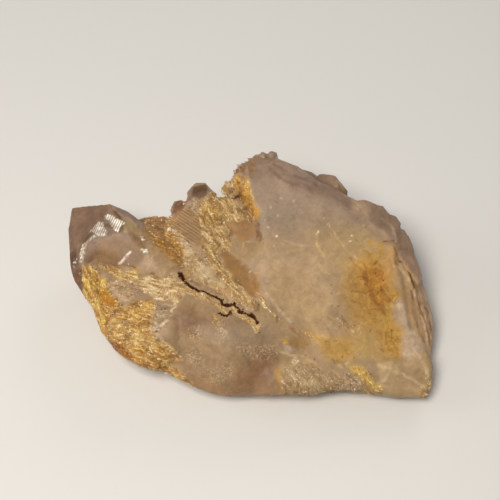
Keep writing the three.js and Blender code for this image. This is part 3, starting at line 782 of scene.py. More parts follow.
height = WEAR * rocky(skin, 0.003, 3, 3)
height += LUMPS * open_parts * rocky(skin, 0.006, 4, 7)
height += (ROWS + ROWS * left_end) * sugar * rows
growth = rocky(base * np.array([0.12, 0.12, 1]), 0.0011, 2, 19)
height += GROWTH_LINES * step(-(normals @ LOOK), 0.0, 0.3) * (1 - sugar) * growth
jagged = bent(base, 0.00032, 0.0007, 5)
near_crack = np.maximum(streak(jagged, CRACK, 0.26, 0.2), streak(jagged, CRACK_BRANCH, 0.14, 0.18))
near_crack *= climb(base, 0.007, 0.009)
height -= CRACK_DEPTH * near_crack
foot = climb(base, 0.0002, 0.002)
skin = skin + normals * (height * foot)[:, None]
skin[:, 2] = np.maximum(skin[:, 2], low[2])
normals = normals_of(skin)
print("relief from", np.round(height.min() / MM, 2), "to", np.round(height.max() / MM, 2), "mm")

# %% [markdown]
# How deep each point lies below its surroundings. The colours use it to darken the hollows, in the
# sugar as painted shade, and to pale the ridges of the stripes, so this one number gives the stone much
# of its depth. A material can find edges by itself while it renders, but here the colours and the
# grains need the number before that.

# %% Hollows
around = skin
for _ in range(6):
    around = neighbour_mean(around)
hollow = ((around - skin) * normals).sum(axis=1) / MM
print("hollows to", np.round(np.percentile(hollow, [1, 50, 99]), 3), "mm deep")

# %% [markdown]
# The colours are laid in layers, as with watercolour: first the milk of the whole stone, then each
# region over it, with its own softness. Every point of the skin keeps its colour. A painted texture
# would need the stone to be unwrapped, and a net this fine can hold the colours itself.

# %% Paints


def paint(red, green, blue):
    """A colour as it is seen, from 0 to 255 a channel, as the light values that a shader works with."""
    seen = np.array([red, green, blue]) / 255
    return np.where(seen < 0.04045, seen / 12.92, ((seen + 0.055) / 1.055) ** 2.4)


def laid(tone, share, colour):
    """The tones with that share of another colour laid over them."""
    return tone + share[:, None] * (paint(*colour) - tone)


print("milky quartz looks like", np.round(paint(174, 144, 107), 2))

# %% [markdown]
# The washes are laid in the order in which they are written. Each has the softness of its edge in
# millimetres, its share, its colour and its outline. The broad blade comes first: milk, grey-brown
# near its upper edge and cream below, with faint yellow clouds, and thin and smoky along its bevel and
# its right edge, which turn from the lamp and are painted darker there as painted shade. One gradient
# from end to end would be simpler, but it can't follow the blade's bend.

# %% Washes of the broad blade
WASHES = {
    "upper blade": (9, 1.0, (157, 134, 111), [
        (49, 84), (52, 60), (60, 60), (72, 66), (84, 62), (84, 72), (66, 90),
    ]),
    "lower blade": (9, 1.0, (170, 143, 109), [
        (55, 52), (54, 36), (58, 27), (66, 22), (73, 25), (75, 34), (73, 46), (66, 53),
    ]),
    "yellow tint": (7, 0.5, (159, 134, 86), [
        (69, 62), (76, 66), (84, 62), (80, 50), (76, 44), (72, 50),
    ]),
    "low yellow tint": (7, 0.4, (178, 146, 96), [
        (57, 46), (64, 44), (72, 34), (74, 26), (66, 24), (58, 34),
    ]),
    # Partly painted shade: the bevel turns from the lamp, and it is thin and smoky too.
    "bevel": (3.0, 1.0, (146, 121, 103), BEVEL),
    "bevel left": (4, 0.8, (161, 135, 112), [
        (48, 94), (52.5, 98), (62, 94), (61.7, 84.7), (57.1, 85.3), (52.5, 85.7), (50.4, 84.7),
    ]),
    "bump": (1.0, 0.8, (148, 121, 98), [
        (69.3, 87.2), (72, 93), (78, 92), (76.5, 77), (72.9, 78.5), (70.5, 81.3),
    ]),
    "shoulder": (2.5, 0.9, (186, 157, 126), [
        (77.5, 77.3), (81.6, 76.3), (85.7, 74.5), (88.8, 69.6), (90.3, 64.3), (90.3, 62.1),
        (86.6, 61.6), (82.7, 65.8), (77.8, 70.7),
    ]),
    # Partly painted shade: this edge turns from the lamp, and it is thin too.
    "right band": (1.2, 1.0, (155, 128, 105), RIGHT_BAND),
    "tan lens": (1.5, 0.8, (176, 138, 92), [
        (86.4, 57.1), (88.8, 58.7), (90.6, 58.4), (90.8, 53.4), (89.5, 46.8), (88.4, 40.5),
        (86.6, 43.8),
    ]),
}
print(len(WASHES), "washes so far")

# %% [markdown]
# The middle blade is brown where it is bare: its two windows look into clear brown quartz. Its lips
# are pale, its stripes dark, and the wall behind it is orange with iron.

# %% Washes of the middle blade
WASHES |= {
    "swelling": (1.0, 0.8, (162, 134, 96), [
        (47.5, 60), (53, 58.5), (54.5, 52.5), (51.5, 47.5), (49.5, 48), (46.5, 53),
    ]),
    "brown window": (1.0, 1.0, (164, 124, 82), [
        (44.4, 69.1), (46.6, 70.9), (50.4, 70.3), (52.2, 65.9), (52.5, 63), (53, 58.8), (50.9, 60.8),
        (48.8, 58.6), (47.1, 60), (45.5, 63.7),
    ]),
    "lower window": (1.0, 1.0, (145, 107, 61), [
        (42.3, 55.2), (44.7, 56), (46.6, 53.3), (48.4, 48.8), (50.4, 44.8), (52.2, 44.1), (52.3, 37.7),
        (51.4, 33.9), (48.8, 37.4), (45.7, 42.3), (43.7, 47.8),
    ]),
    "pale lip": (1.2, 1.0, (173, 140, 94), THIN_SUGAR["pale lip"]),
    "white lip": (1.5, 0.8, (199, 173, 133), [
        (36, 52), (39.2, 47.8), (40, 44.6), (43.8, 40), (43, 37.5), (39.8, 40.3), (36, 44),
    ]),
    "stripes": (1.2, 1.0, (149, 117, 79), [
        (33.2, 74.6), (35.5, 72.6), (38.2, 68.5), (39.6, 64.8), (40.2, 60.2), (36.9, 57.5),
        (33.7, 59.4), (30.4, 63.9), (28.7, 66.9), (29.2, 70.6), (30.8, 73.1),
    ]),
    "left lip": (0.8, 0.9, (204, 176, 138), [
        (28, 68), (29.3, 66), (31, 63), (33.2, 59.5), (36, 55), (35, 52), (31.6, 56), (29, 61),
    ]),
    "striped corner": (1.2, 1.0, (188, 163, 131), THIN_SUGAR["striped corner"]),
    "striped sugar": (1.0, 1.0, (189, 154, 100), SUGAR["striped blade"]),
    "upper sugar": (3.0, 0.6, (190, 150, 78), [(36, 78), (40, 80), (44, 72), (42, 67), (37, 70)]),
    "orange wall": (1.0, 1.0, (196, 144, 60), THIN_SUGAR["orange wall"]),
    "bright wall": (1.2, 0.8, (212, 164, 74), [
        (48.5, 80.4), (49.8, 79.3), (50.6, 75.4), (51.7, 71.1), (52.2, 67.9), (50.6, 70.8),
        (49.3, 75.1),
    ]),
    "cream wall": (1.0, 0.8, (214, 180, 120), [
        (46.8, 83.9), (48.5, 84.7), (50.1, 80.8), (49.8, 79.6), (48.2, 81.1),
    ]),
    "wall top": (0.8, 0.95, (155, 122, 87), [
        (44.5, 86.3), (46, 92.5), (48.5, 94.5), (52.3, 92.5), (52.2, 85.7), (50.6, 83.2), (48.6, 85.8),
        (46.5, 86.4),
    ]),
}
print(len(WASHES), "washes so far")

# %% [markdown]
# The domed front is beige milk with smoky shades at both ends. The ledge to its right is a little
# paler, with a clear window between them.

# %% Washes of the dome and the ledge
WASHES |= {
    "dome": (2.5, 1.0, (151, 123, 90), DOME),
    "dome shade left": (5, 0.9, (112, 78, 48), [
        (31, 27), (35, 28.5), (38.5, 23), (36, 18), (32.5, 20.5),
    ]),
    "dome shade right": (4, 0.9, (130, 94, 65), [
        (49, 7), (53, 12.5), (57, 11), (57.7, 6), (54.3, 2.1), (46, 1),
    ]),
    "dome rim": (2.5, 0.6, (170, 127, 88), [(36, 4), (46, 1), (57, 1), (57, -8), (34, -8), (32, 6)]),
    "window": (0.8, 1.0, (163, 128, 85), [
        (59.2, 15.5), (60.2, 17.8), (62.4, 19.3), (64.8, 19.2), (66.6, 17.3), (65.5, 15.3), (62.9, 15),
        (60.8, 14.8),
    ]),
    "ledge": (1.2, 1.0, (170, 141, 102), [
        (58.7, 13.2), (61, 13.1), (64.8, 12.8), (69.3, 9.9), (73, 8.1), (75, 0), (74, -8), (58, -8),
        (58.3, 4.9),
    ]),
    "ledge lens": (1.0, 0.7, (164, 134, 98), [
        (68, 11.2), (70.7, 11.3), (72.6, 8.8), (71.2, 6.7), (68.9, 7.9),
    ]),
}
print(len(WASHES), "washes so far")

# %% [markdown]
# At the left end iron has turned the sugar gold. It is palest where the crust is thick, and deep
# orange where iron has sealed it.

# %% Washes of the gold crust
WASHES |= {
    "gold left": (0.8, 1.0, (197, 156, 75), SUGAR["gold left"]),
    "gold field": (0.8, 1.0, (192, 148, 75), SUGAR["gold field"]),
    "field light": (2.5, 0.6, (210, 176, 116), [
        (13.5, 29), (16.9, 24.5), (20.5, 21), (24.5, 17), (25, 14), (19, 17), (14, 25),
    ]),
    "deep orange": (0.8, 0.95, (180, 120, 22), RESIN[0]),
    "orange rim": (1.0, 0.9, (150, 92, 22), RESIN[1]),
    "lower orange rim": (1.5, 0.7, (169, 114, 56), [
        (19, 12.2), (22, 11), (27, 9), (34, 4), (33, 0), (25, 4), (17, 12),
    ]),
    "milky patch": (1.0, 1.0, (192, 161, 124), THIN_SUGAR["milky patch"]),
    "white patch": (1.0, 1.0, (166, 139, 107), THIN_SUGAR["white patch"]),
    "pale sugar": (1.0, 1.0, (210, 179, 130), SUGAR["pale sugar"]),
    "arch": (0.6, 1.0, (220, 182, 113), SUGAR["arch"]),
    "arch tip": (0.6, 1.0, (208, 162, 80), SUGAR["arch tip"]),
}
print(len(WASHES), "washes so far")

# %% [markdown]
# The point is smoke-brown, darkest at its foot and in the band over its front. Behind it lie the
# saddle, amber with iron, and two small tips with dark hearts. A few drops of colour in front follow.

# %% Washes of the point
WASHES |= {
    "point": (1.0, 1.0, (148, 117, 93), POINT),
    "point band": (0.8, 1.0, (111, 83, 56), POINT_BAND),
    "point right": (1.0, 0.8, (177, 149, 107), [
        (15, 73), (19.5, 70.5), (22, 65), (16.5, 64.5), (17, 68),
    ]),
    "point right foot": (1.5, 0.8, (172, 142, 108), [
        (18, 64.5), (20.5, 66), (22.8, 62), (22.8, 57), (20.5, 57), (19.2, 61),
    ]),
    "point front": (1.2, 1.0, (143, 111, 77), POINT_FRONT),
    "point shade": (2.0, 0.6, (122, 92, 74), [
        (5.2, 63.7), (7, 64.4), (8.7, 62.4), (9.2, 58.8), (8.2, 52.3), (5.7, 54.7), (5.1, 59),
    ]),
    "point foot": (0.8, 0.9, (112, 78, 54), [
        (-2, 60), (3, 60.3), (4.3, 54.8), (5.7, 49.5), (5.6, 45.8), (4, 46), (-2, 48),
    ]),
    "beige between": (1.0, 1.0, (176, 146, 110), BEIGE),
    "saddle": (3.0, 0.95, (175, 138, 84), SADDLE),
    "saddle top": (1.5, 0.8, (158, 118, 78), THIN_SUGAR["saddle top"]),
    "amber": (3.0, 0.9, (180, 129, 45), [
        (24, 68), (29, 63.5), (32, 57), (32.5, 52), (30, 56), (26, 60.5),
    ]),
    "tips": (0.5, 1.0, (179, 148, 123), TIPS[0]),
    "back tip": (0.5, 1.0, (182, 150, 123), TIPS[1]),
    "tip heart": (0.8, 0.9, (149, 103, 68), [
        (29.9, 74), (30.1, 78), (31.5, 81), (32.8, 78), (31.8, 73.5), (30.5, 71.9),
    ]),
    "back tip heart": (0.8, 0.9, (116, 83, 56), [
        (34.3, 79.3), (34.8, 84.2), (37.4, 86.5), (38.8, 87), (38.8, 80.5), (36.7, 78.5),
    ]),
    "yellow spot": (0.5, 1.0, (206, 164, 58), [(59.1, 16.7), (60.4, 17.5), (60.8, 15.9), (59.7, 14.9)]),
    "pink spot": (0.6, 0.8, (190, 162, 142), [(58.9, 14.5), (60.8, 15.1), (61.5, 13.3), (59.7, 12.1)]),
    "yellow streak": (0.6, 0.7, (172, 132, 66), [
        (57.1, 8.4), (58.7, 9), (59, 6.3), (58.6, 2.1), (57.9, 2.3), (57.2, 6.1),
    ]),
}
print(len(WASHES), "washes so far")

# %% [markdown]
# The iron in the broad blade lies under the surface, so its washes are the softest of all, with the
# brown core laid over the yellow field. At the right end the quartz is whitest, and its thin pages
# stand on edge, with a painted highlight on their crests and painted shade between them.

# %% Washes of the iron and the right end
WASHES |= {
    "iron glow": (6.0, 0.75, (180, 143, 86), [
        (75.6, 41.3), (77.5, 45.4), (79.7, 50.7), (81.9, 54.9), (85.2, 57.5), (86.5, 51.2),
        (86.6, 42.1), (88.1, 37.9), (88.2, 29.3), (90, 25.5), (90.4, 18.9), (89.3, 14.6), (85.8, 14.8),
        (82.4, 15.7), (76.6, 16.1), (73.4, 17.8), (75.4, 23.7), (77.3, 28.5), (75.5, 34.2),
    ]),
    "iron field": (7.0, 0.8, (184, 141, 64), IRON_FIELD),
    "low iron veil": (3.0, 0.9, (187, 147, 73), LOW_VEIL),
    "beige haze": (3.0, 0.6, (165, 138, 96), [
        (76.1, 60), (80.4, 61.2), (84.7, 57.5), (83.5, 54.2), (78.7, 53.8), (76, 56),
    ]),
    "iron core": (3.5, 0.85, (174, 119, 38), IRON_CORE),
    "iron east": (2.0, 0.9, (194, 150, 68), IRON_EAST),
    "yellow band": (2.5, 0.9, (228, 188, 92), YELLOW_BAND),
    "plain lens": (1.0, 0.95, (180, 147, 89), PLAIN_LENS),
    "white lens": (1.5, 0.9, (182, 158, 128), [
        (88.4, 37.5), (90.3, 38), (92.5, 36.5), (93.2, 31.9), (92.2, 26.4), (90, 25.9), (88.5, 28.5),
        (87.7, 33.1),
    ]),
    "white right": (2.0, 0.9, (190, 164, 134), [
        (90.5, 25.1), (92.8, 27.2), (95.7, 26.1), (96.9, 21.5), (95.1, 14.6), (91.9, 13.2), (90.1, 17),
    ]),
    "pages": (1.0, 0.9, (186, 150, 108), PAGES),
    # Painted shade between the pages.
    "page shade wash": (0.8, 0.9, (150, 112, 76), [
        (92.3, 50.3), (95, 46.8), (96.2, 42.3), (97.1, 34.4), (98.8, 27.6), (99.3, 22.1), (97.7, 22.6),
        (95.8, 32), (94.7, 41), (93.3, 45.3),
    ]),
    "page edge": (0.8, 0.9, (168, 140, 116), [
        (94.6, 50.8), (96, 55.5), (104, 50), (104, 24), (98.8, 26), (98.4, 31), (97.3, 38.5),
        (95.9, 45.7),
    ]),
    "corner": (1.5, 0.8, (183, 154, 112), [
        (84.2, 12.2), (90.7, 12.6), (96.4, 15.7), (100, 8), (100, -8), (84, -8),
    ]),
    "corner shade": (1.5, 0.5, (156, 126, 92), [
        (90.7, 11.3), (94.4, 10.2), (96.1, 4.9), (92.4, 4), (89.7, 7.1),
    ]),
}
print(len(WASHES), "washes in all")

# %% [markdown]
# Veins, seams, scratches and crests are lines. Each has its half width and its softness in
# millimetres, its share, its colour and its places. Thin curves could lie on the stone as threads of
# their own, but these marks have no thickness: they are cracks inside the quartz or stains, and a few
# are painted highlights and painted shade.

# %% Lines of the middle and the gold crust
LINES = {
    "wall seam": (0.15, 0.35, 0.9, (128, 82, 36), [(47.6, 79), (49, 73.9), (50.6, 70.6), (52, 67.3)]),
    "wall specks": (0.1, 0.4, 0.6, (110, 74, 46), [
        (46.5, 86.2), (48.8, 86.9), (50.6, 85.2), (52.2, 85.2),
    ]),
    "wall streak": (0.1, 0.5, 0.7, (150, 96, 32), [(48, 81), (50, 74), (51.6, 69)]),
    "wall light": (0.1, 0.5, 0.7, (226, 186, 110), [(49.6, 82), (50.2, 78), (51.4, 72)]),
    "window rim": (0.1, 0.35, 0.7, (110, 74, 40), [(52.4, 67), (52.5, 63.2), (53.3, 58.5)]),
    "swelling rim": (0.02, 0.3, 0.5, (200, 172, 132), [
        (48.4, 56), (48.4, 58.2), (49.3, 59.6), (51.4, 59.3), (52.5, 58.1),
    ]),
    "orange lines": (0.1, 0.5, 0.5, (178, 132, 74), [(50.4, 43.9), (50.6, 40.4), (51.7, 37.7)]),
    "orange edge": (0.1, 0.4, 0.5, (190, 140, 72), [
        (52.1, 46), (52.2, 40.8), (53, 35), (54.5, 30.9), (56.7, 27.5), (57.8, 23.7), (60.4, 22.3),
        (63.3, 21.7), (66, 20.6),
    ]),
    "dark short": (0.12, 0.25, 0.9, (110, 62, 26), [(56.9, 27.2), (57.6, 23.9)]),
    "veil by the seam": (0.1, 0.5, 0.6, (208, 184, 150), [(54.8, 36.2), (58.5, 29.1), (61, 25)]),
    "crease": (0.15, 0.5, 0.8, (140, 88, 38), [
        (16.6, 29.8), (15.4, 28.5), (14.4, 28.7), (13.5, 28.3), (12.5, 28),
    ]),
    "crease 2": (0.1, 0.5, 0.8, (140, 88, 38), [(14, 33.1), (14.9, 30.6), (15.2, 28.6), (16.1, 26.7)]),
    "fringe": (0.05, 0.35, 0.9, (226, 200, 156), [
        (24.9, 24.7), (25.7, 22.8), (26.5, 21.7), (27.8, 22.1), (28.8, 23.6),
    ]),
    "fringe 2": (0.05, 0.3, 0.9, (226, 200, 156), [(29.5, 27.9), (30.2, 29.1), (31, 29.9)]),
    "crumb line": (0.1, 0.4, 0.8, (214, 184, 136), [(24.4, 21), (26.2, 19), (28, 16.7), (29.6, 14.7)]),
}
print(len(LINES), "lines so far")

# %% Lines of the broad blade
LINES |= {
    "long veil": (0.02, 0.35, 0.8, (214, 188, 148), [
        (71.3, 65.1), (73.6, 60.4), (76.4, 54.9), (79.2, 51), (81.2, 46.9),
    ]),
    "short veil": (0.02, 0.5, 0.4, (206, 176, 136), [
        (56.6, 60.5), (58.5, 58.2), (62.3, 56.7), (66.5, 55.9),
    ]),
    "spark trail": (0.03, 0.35, 0.7, (218, 182, 116), [
        (68.1, 61), (68.1, 56.4), (69.3, 54.4), (70.2, 52.8),
    ]),
    "thin trail": (0.02, 0.3, 0.6, (206, 174, 124), [(68.1, 50.9), (69.7, 46.8), (72, 44.8)]),
    "yellow vein": (0.1, 0.4, 0.8, (194, 150, 56), [
        (81.9, 60.3), (82.8, 58.3), (85, 58.4), (85.9, 57.8),
    ]),
    "yellow vein 2": (0.1, 0.4, 0.8, (190, 144, 52), [(85.9, 58.5), (84.6, 53.5), (82.9, 49.8)]),
    "yellow vein 3": (0.05, 0.35, 0.8, (190, 144, 52), [(81.2, 56.5), (82.3, 53.4), (83.2, 51.6)]),
    "arc": (0.08, 0.3, 0.9, (128, 80, 40), [(85.9, 58.9), (88.3, 59.9), (89.8, 59.3), (90.4, 58.2)]),
    "pale border": (0.15, 0.5, 0.7, (206, 180, 150), [
        (86.2, 69.3), (88.5, 66.6), (89.8, 61.3), (90.6, 55.5), (91, 52),
    ]),
    "bevel dark": (0.1, 0.7, 0.6, (124, 98, 82), [(55.8, 86.1), (60, 81.3), (63.3, 79.8)]),
    "bevel dark 2": (0.1, 0.7, 0.6, (122, 96, 80), [(56.7, 89.3), (62, 85.2), (65.3, 83), (69.1, 80)]),
    "bump line": (0.1, 0.4, 0.7, (196, 166, 112), [(74.3, 84.9), (75.4, 82.4), (76.7, 77.4)]),
    "scratch": (0.05, 0.3, 0.5, (142, 110, 72), [(69.1, 27.5), (70.4, 24.5), (71.8, 21.4)]),
    "scratch 2": (0.05, 0.3, 0.5, (142, 110, 72), [(70.9, 29), (72.7, 25.7), (74.1, 23.1)]),
    "iron thread": (0.15, 0.5, 0.8, (132, 82, 30), [
        (81.2, 46.3), (81.4, 42.1), (83.2, 36), (85.9, 30.7),
    ]),
    "iron edge": (0.1, 0.9, 0.5, (204, 156, 72), [
        (89.8, 39), (88.4, 36), (87.8, 30.1), (88.2, 27.4), (90.5, 24.5), (90.3, 19.4), (89.6, 14.6),
    ]),
}
print(len(LINES), "lines so far")

# %% Lines of the ledge and the right end
LINES |= {
    "ledge line": (0.05, 0.4, 0.7, (212, 186, 146), [(59.2, 7.7), (61, 5.1), (63.8, 2.7), (69.3, 2.3)]),
    "ledge line 2": (0.05, 0.4, 0.7, (206, 180, 140), [
        (58.3, 12.6), (60.6, 12.4), (63.8, 12.6), (66.6, 11), (68.9, 8.5),
    ]),
    # The pages: a painted highlight on their crests and painted shade between them.
    "page crest": (0.2, 0.4, 0.9, (222, 190, 150), [
        (88.9, 49.8), (90.4, 50.3), (91.7, 49.2), (92.8, 46.6), (93.5, 42.9), (94.7, 40.6),
        (95.4, 37.1), (96.2, 33.6), (97, 29.6), (97.7, 24.5), (98.2, 20.8),
    ]),
    "page shade": (0.1, 0.3, 0.9, (104, 72, 44), [
        (90.8, 53.5), (91.8, 50.8), (93.2, 49.2), (93.9, 46.2), (94.5, 43.8),
    ]),
    "inner page shade": (0.1, 0.4, 0.7, (140, 104, 68), [
        (93.5, 41.9), (94, 38.2), (93.5, 33.9), (94.3, 30), (95.4, 26.8), (96.7, 22.6),
    ]),
    "page crest 2": (0.1, 0.35, 0.8, (212, 180, 138), [
        (94.4, 43), (95.9, 40.2), (96.9, 36.3), (97.9, 31.8), (98.8, 27.6), (99, 23.3),
    ]),
    "page shade 2": (0.1, 0.35, 0.8, (124, 90, 58), [
        (95.3, 43.2), (96.7, 39.5), (98.2, 36.7), (98.9, 32.8), (99.3, 27.7),
    ]),
    "shoulder crack": (0.1, 0.3, 0.9, (110, 80, 58), [(89.2, 57.5), (90.2, 54.4), (91.2, 52.6)]),
    "corner vein": (0.1, 0.5, 0.6, (208, 182, 142), [
        (84.2, 10.9), (87.9, 9.1), (91.5, 6.6), (96.6, 3.4),
    ]),
    "corner vein 2": (0.1, 0.5, 0.6, (212, 186, 150), [(94.1, 17.2), (95.8, 12.2), (97.4, 7.6)]),
    "corner vein 3": (0.05, 0.5, 0.5, (204, 178, 136), [(87.5, 13.8), (86.9, 9), (85, 4.2)]),
}
print(len(LINES), "lines so far")

# %% Lines of the point and the rim
LINES |= {
    "point fibres": (0.2, 0.8, 0.6, (190, 154, 92), [(17, 67.2), (18.9, 66.3), (20.7, 65.5)]),
    "point ridge": (0.05, 0.4, 0.7, (196, 160, 132), [
        (13, 74.5), (15.2, 73.1), (17.4, 71.9), (19.3, 70),
    ]),
    # A painted highlight: a bluish white streak of reflection on the front of the point.
    "blue highlight streak": (0.08, 0.4, 1.0, (240, 221, 212), [
        (15.3, 53), (16.3, 54.9), (17.4, 56.6), (18.2, 57.6),
    ]),
    "blue highlight streak 2": (0.05, 0.3, 0.6, (206, 186, 176), [(16, 53.6), (16.9, 55.1), (17.6, 55.9)]),
    "yellow drip": (0.12, 0.3, 0.9, (200, 148, 62), [
        (57.6, 8.4), (58.1, 6.2), (57.9, 4), (58.2, 1.6), (58.3, -1),
    ]),
    "yellow drip 2": (0.05, 0.25, 0.7, (190, 138, 56), [(57.1, 6.1), (57.6, 4.7), (57.9, 2)]),
    "crack fork": (0.05, 0.2, 0.9, (84, 44, 16), [(32.4, 42.3), (32.9, 39.9), (34.3, 38.9)]),
    "resin rim": (0.04, 0.25, 0.8, (126, 72, 20), [
        (10.2, 39.8), (10.3, 37.3), (11.9, 33.8), (13.8, 31.2),
    ]),
    "rim foot": (0.02, 0.25, 0.6, (212, 188, 160), [(5.7, 48.9), (5.3, 51.9), (4.9, 54.7)]),
    "rim rust": (0.1, 0.5, 0.85, (122, 62, 14), [(12, 24), (12.9, 22.4), (14.3, 20), (16.4, 16.4)]),
}
print(len(LINES), "lines in all")

# %% [markdown]
# Grains and rust specks are small round marks: radius and softness in millimetres, share, colour and
# places. The soft ones are broken up into grains later. Rust threads run from one place to another.

# %% Small marks
SPOTS = {
    "white grains": (0.3, 1.4, 0.6, (214, 190, 150), [
        (78.8, 24.3), (77.5, 22.7), (79.6, 25.6), (74.9, 10.3), (59.9, 15.9), (62, 11), (70, 5),
        (66, 3), (78, 4),
    ]),
    "white lens grains": (0.4, 1.4, 0.7, (214, 190, 160), [(90, 34), (93.5, 24), (94, 19), (92, 16)]),
    "yellow specks": (0.12, 0.22, 1.0, (214, 176, 92), [
        (70.1, 67.9), (80.8, 65.5), (56.6, 55.6), (50.6, 45.3),
    ]),
    "pale specks": (0.15, 0.22, 1.0, (236, 216, 176), [
        (77.6, 61.4), (77.1, 58.9), (57.7, 59.4), (68.7, 62.1),
    ]),
    "milky specks": (0.15, 0.35, 0.6, (206, 182, 150), [
        (58.7, 74.8), (62.2, 73.5), (56, 70.5), (57.9, 67.5), (54.1, 66), (55.2, 62.8), (79.6, 74.8),
        (79.3, 72.8),
    ]),
    "rust specks": (0.08, 0.25, 0.8, (112, 62, 24), [
        (74.5, 13.3), (70.6, 19.1), (84.9, 28.2), (82, 23.6), (77.7, 13.1), (67, 11.8), (65, 12.6),
        (81.4, 43.5), (72, 40.9), (71.8, 37.9), (72, 33.1), (73.8, 32.9), (35.6, 34.9), (54.6, 25.6),
        (39.8, 43.2), (51.7, 27.9), (53.2, 31.2), (37.8, 57.6), (39.4, 58.5), (40.5, 56.2),
    ]),
    "rust hearts": (0.3, 1.1, 0.8, (116, 68, 22), [
        (81.5, 42.5), (87, 35.8), (85.5, 40), (82.1, 45.3), (83.5, 51),
    ]),
    "point smudges": (0.5, 1.6, 0.5, (118, 88, 68), [(7.5, 74), (9, 75), (10.5, 73), (18.5, 52.5)]),
}
RUST_THREADS = [
    [(77.4, 39.1), (81.1, 38.2)], [(79, 34.5), (81.1, 33.1)], [(82.1, 32), (84.8, 32.1)],
    [(80.9, 41.7), (82.8, 40.6)], [(84.4, 42.3), (86, 40.1)], [(82.7, 37.1), (83.8, 34.8)],
    [(80.2, 48.4), (80.7, 43.7)], [(77.1, 52.1), (79.7, 47.5)], [(84, 51), (82.4, 47.7)],
    [(85.9, 47.2), (85.3, 44)], [(86.2, 23.7), (86.2, 18.6)], [(87.9, 24.6), (87.5, 19.9)],
    [(84.5, 17.4), (85.6, 15.9)], [(76.8, 35.5), (78.4, 34.8)], [(78.8, 44.3), (81.3, 44.9)],
]
print(len(SPOTS), "kinds of marks and", len(RUST_THREADS), "threads")

# %% [markdown]
# First the washes are laid, and then what no outline can give: the side that looks away is a plain
# brownish milk with darker and paler clouds, and everywhere the milk is a little dappled. A material
# could mix all this with one node for each wash, but so many of them would be slow, and hard to
# follow.

# %% Laying the washes


def swings(values, start, end):
    """1 where the values are above end, -1 where they are as far below zero, and 0 within start."""
    return step(values, start, end) - step(-values, start, end)


tone = np.tile(paint(166, 138, 104), (len(base), 1))
raised = climb(base, 0.013, 0.016)
for name, (soft, share, colour, outline) in WASHES.items():
    here = share * patch(ragged, outline, soft)
    tone = laid(tone, here * raised if "tip" in name else here, colour)
clouds = rocky(base, 0.009, 4, 71)
small_clouds = rocky(base, 0.0035, 3, 74)
deep_clouds = rocky(base, 0.014, 3, 77)
away = step(-(normals @ LOOK), -0.1, 0.25)
for share, colour in (
    (0.8 * away, (156, 128, 98)),
    (0.6 * away * step(deep_clouds, 0.05, 0.4), (128, 96, 68)),
    (0.5 * away * step(-deep_clouds, 0.1, 0.45), (184, 158, 124)),
    (0.8 * hidden_sugar, (196, 156, 92)),
):
    tone = laid(tone, share, colour)
bare = 1 - sugar
dapple = 0.12 * swings(clouds, 0.0, 0.4) + 0.08 * swings(small_clouds, 0.05, 0.5)
tone = tone * np.exp(dapple * bare)[:, None]
print("mean tone after the washes:", np.round(tone.mean(axis=0), 2))

# %% [markdown]
# Then the lines and marks go over the washes. Nothing in a stone is drawn in one go, so every line
# pales and breaks up in places, and the soft marks fall apart into grains.

# %% Lines and marks
broken = 0.25 + 0.75 * step(rocky(base, 0.0014, 2, 93), -0.3, 0.15)
for half, soft, share, colour, line in LINES.values():
    tone = laid(tone, share * broken * streak(wavering, line, half, soft), colour)
for thread in RUST_THREADS:
    tone = laid(tone, 0.6 * streak(wavering, thread, 0.02, 0.26), (116, 70, 24))
grainy = step(rocky(base, 0.0007, 2, 91), 0.0, 0.3)
for radius, soft, share, colour, places in SPOTS.values():
    here = share * spots(wavering, places, radius, soft)
    tone = laid(tone, here * grainy if soft > 1 else here, colour)
tone = laid(tone, 0.85 * crumbs, (202, 165, 106))
print("mean tone after the lines:", np.round(tone.mean(axis=0), 2))

# %% [markdown]
# Last, the colours that follow the relief. Thin threads of iron run between the rows of the sugar, a
# painted shade darkens its troughs and hollows, and its crests get a painted highlight. Bare hollows
# are darker too. The stripes of the middle blade get painted shade in their furrows and paler ridges,
# and the bright faces get a painted highlight of the lamp, broken by a fine hatching, the steps of
# their growth.

# %% Colours of the relief
HATCH_PITCH = 0.00066
on_stripes = patch(base, STRIPES, 1)
# Painted shade in the troughs between the rows of the sugar, and a painted highlight on their crests.
painted_trough_shade = sugar * step(-rows, 0.1, 0.5)
crest_highlight = sugar * step(rows, 0.0, 0.45)
seams = sugar * (1 - step(np.abs(rows + 0.05), 0.0, 0.09))
# Painted shade in the furrows of the stripes.
furrow_shade = step(hollow, 0.02, 0.1) * on_stripes
hatch = base[:, 0] - 0.45 * base[:, 1] + 0.0002 * small_clouds
hatched = step(np.sin(hatch * 2 * math.pi / HATCH_PITCH), -0.6, 0.5)
bright = shine * (0.15 + 0.85 * hatched) * (0.5 + 0.5 * broken)
# A painted highlight, near white, on the faces and the rim that mirror the lamp, broken by the
# hatching.
for share, colour in (
    (0.25 * painted_trough_shade, (150, 98, 40)),
    (0.25 * crest_highlight, (236, 202, 142)),
    (0.25 * seams, (116, 70, 24)),
    # Painted shade in the hollows of the sugar, and bare hollows made darker.
    (0.35 * sugar * step(hollow, 0.05, 0.25), (112, 68, 26)),
    (bare * 0.5 * step(hollow, 0.03, 0.15), (130, 96, 62)),
    (0.3 * furrow_shade * (0.4 + 0.6 * broken), (118, 82, 50)),
    (0.35 * broken * step(-hollow, 0.02, 0.1) * on_stripes, (206, 176, 132)),
    # The painted highlight of the faces and the rim that mirror the lamp.
    (bright * (0.8 + 0.2 * step(-small_clouds, -0.2, 0.2)), (252, 242, 226)),
    (near_crack, (70, 30, 4)),
):
    tone = laid(tone, share, colour)
print("mean tone:", np.round(tone.mean(axis=0), 2))

# %% [markdown]
# Meshes come from arrays: points, faces, one number for each point under each name, and one colour.
# The colour is kept as three plain numbers, which come through every export as they are.

# %% Meshes from arrays
CHANNELS = ("red", "green", "blue")


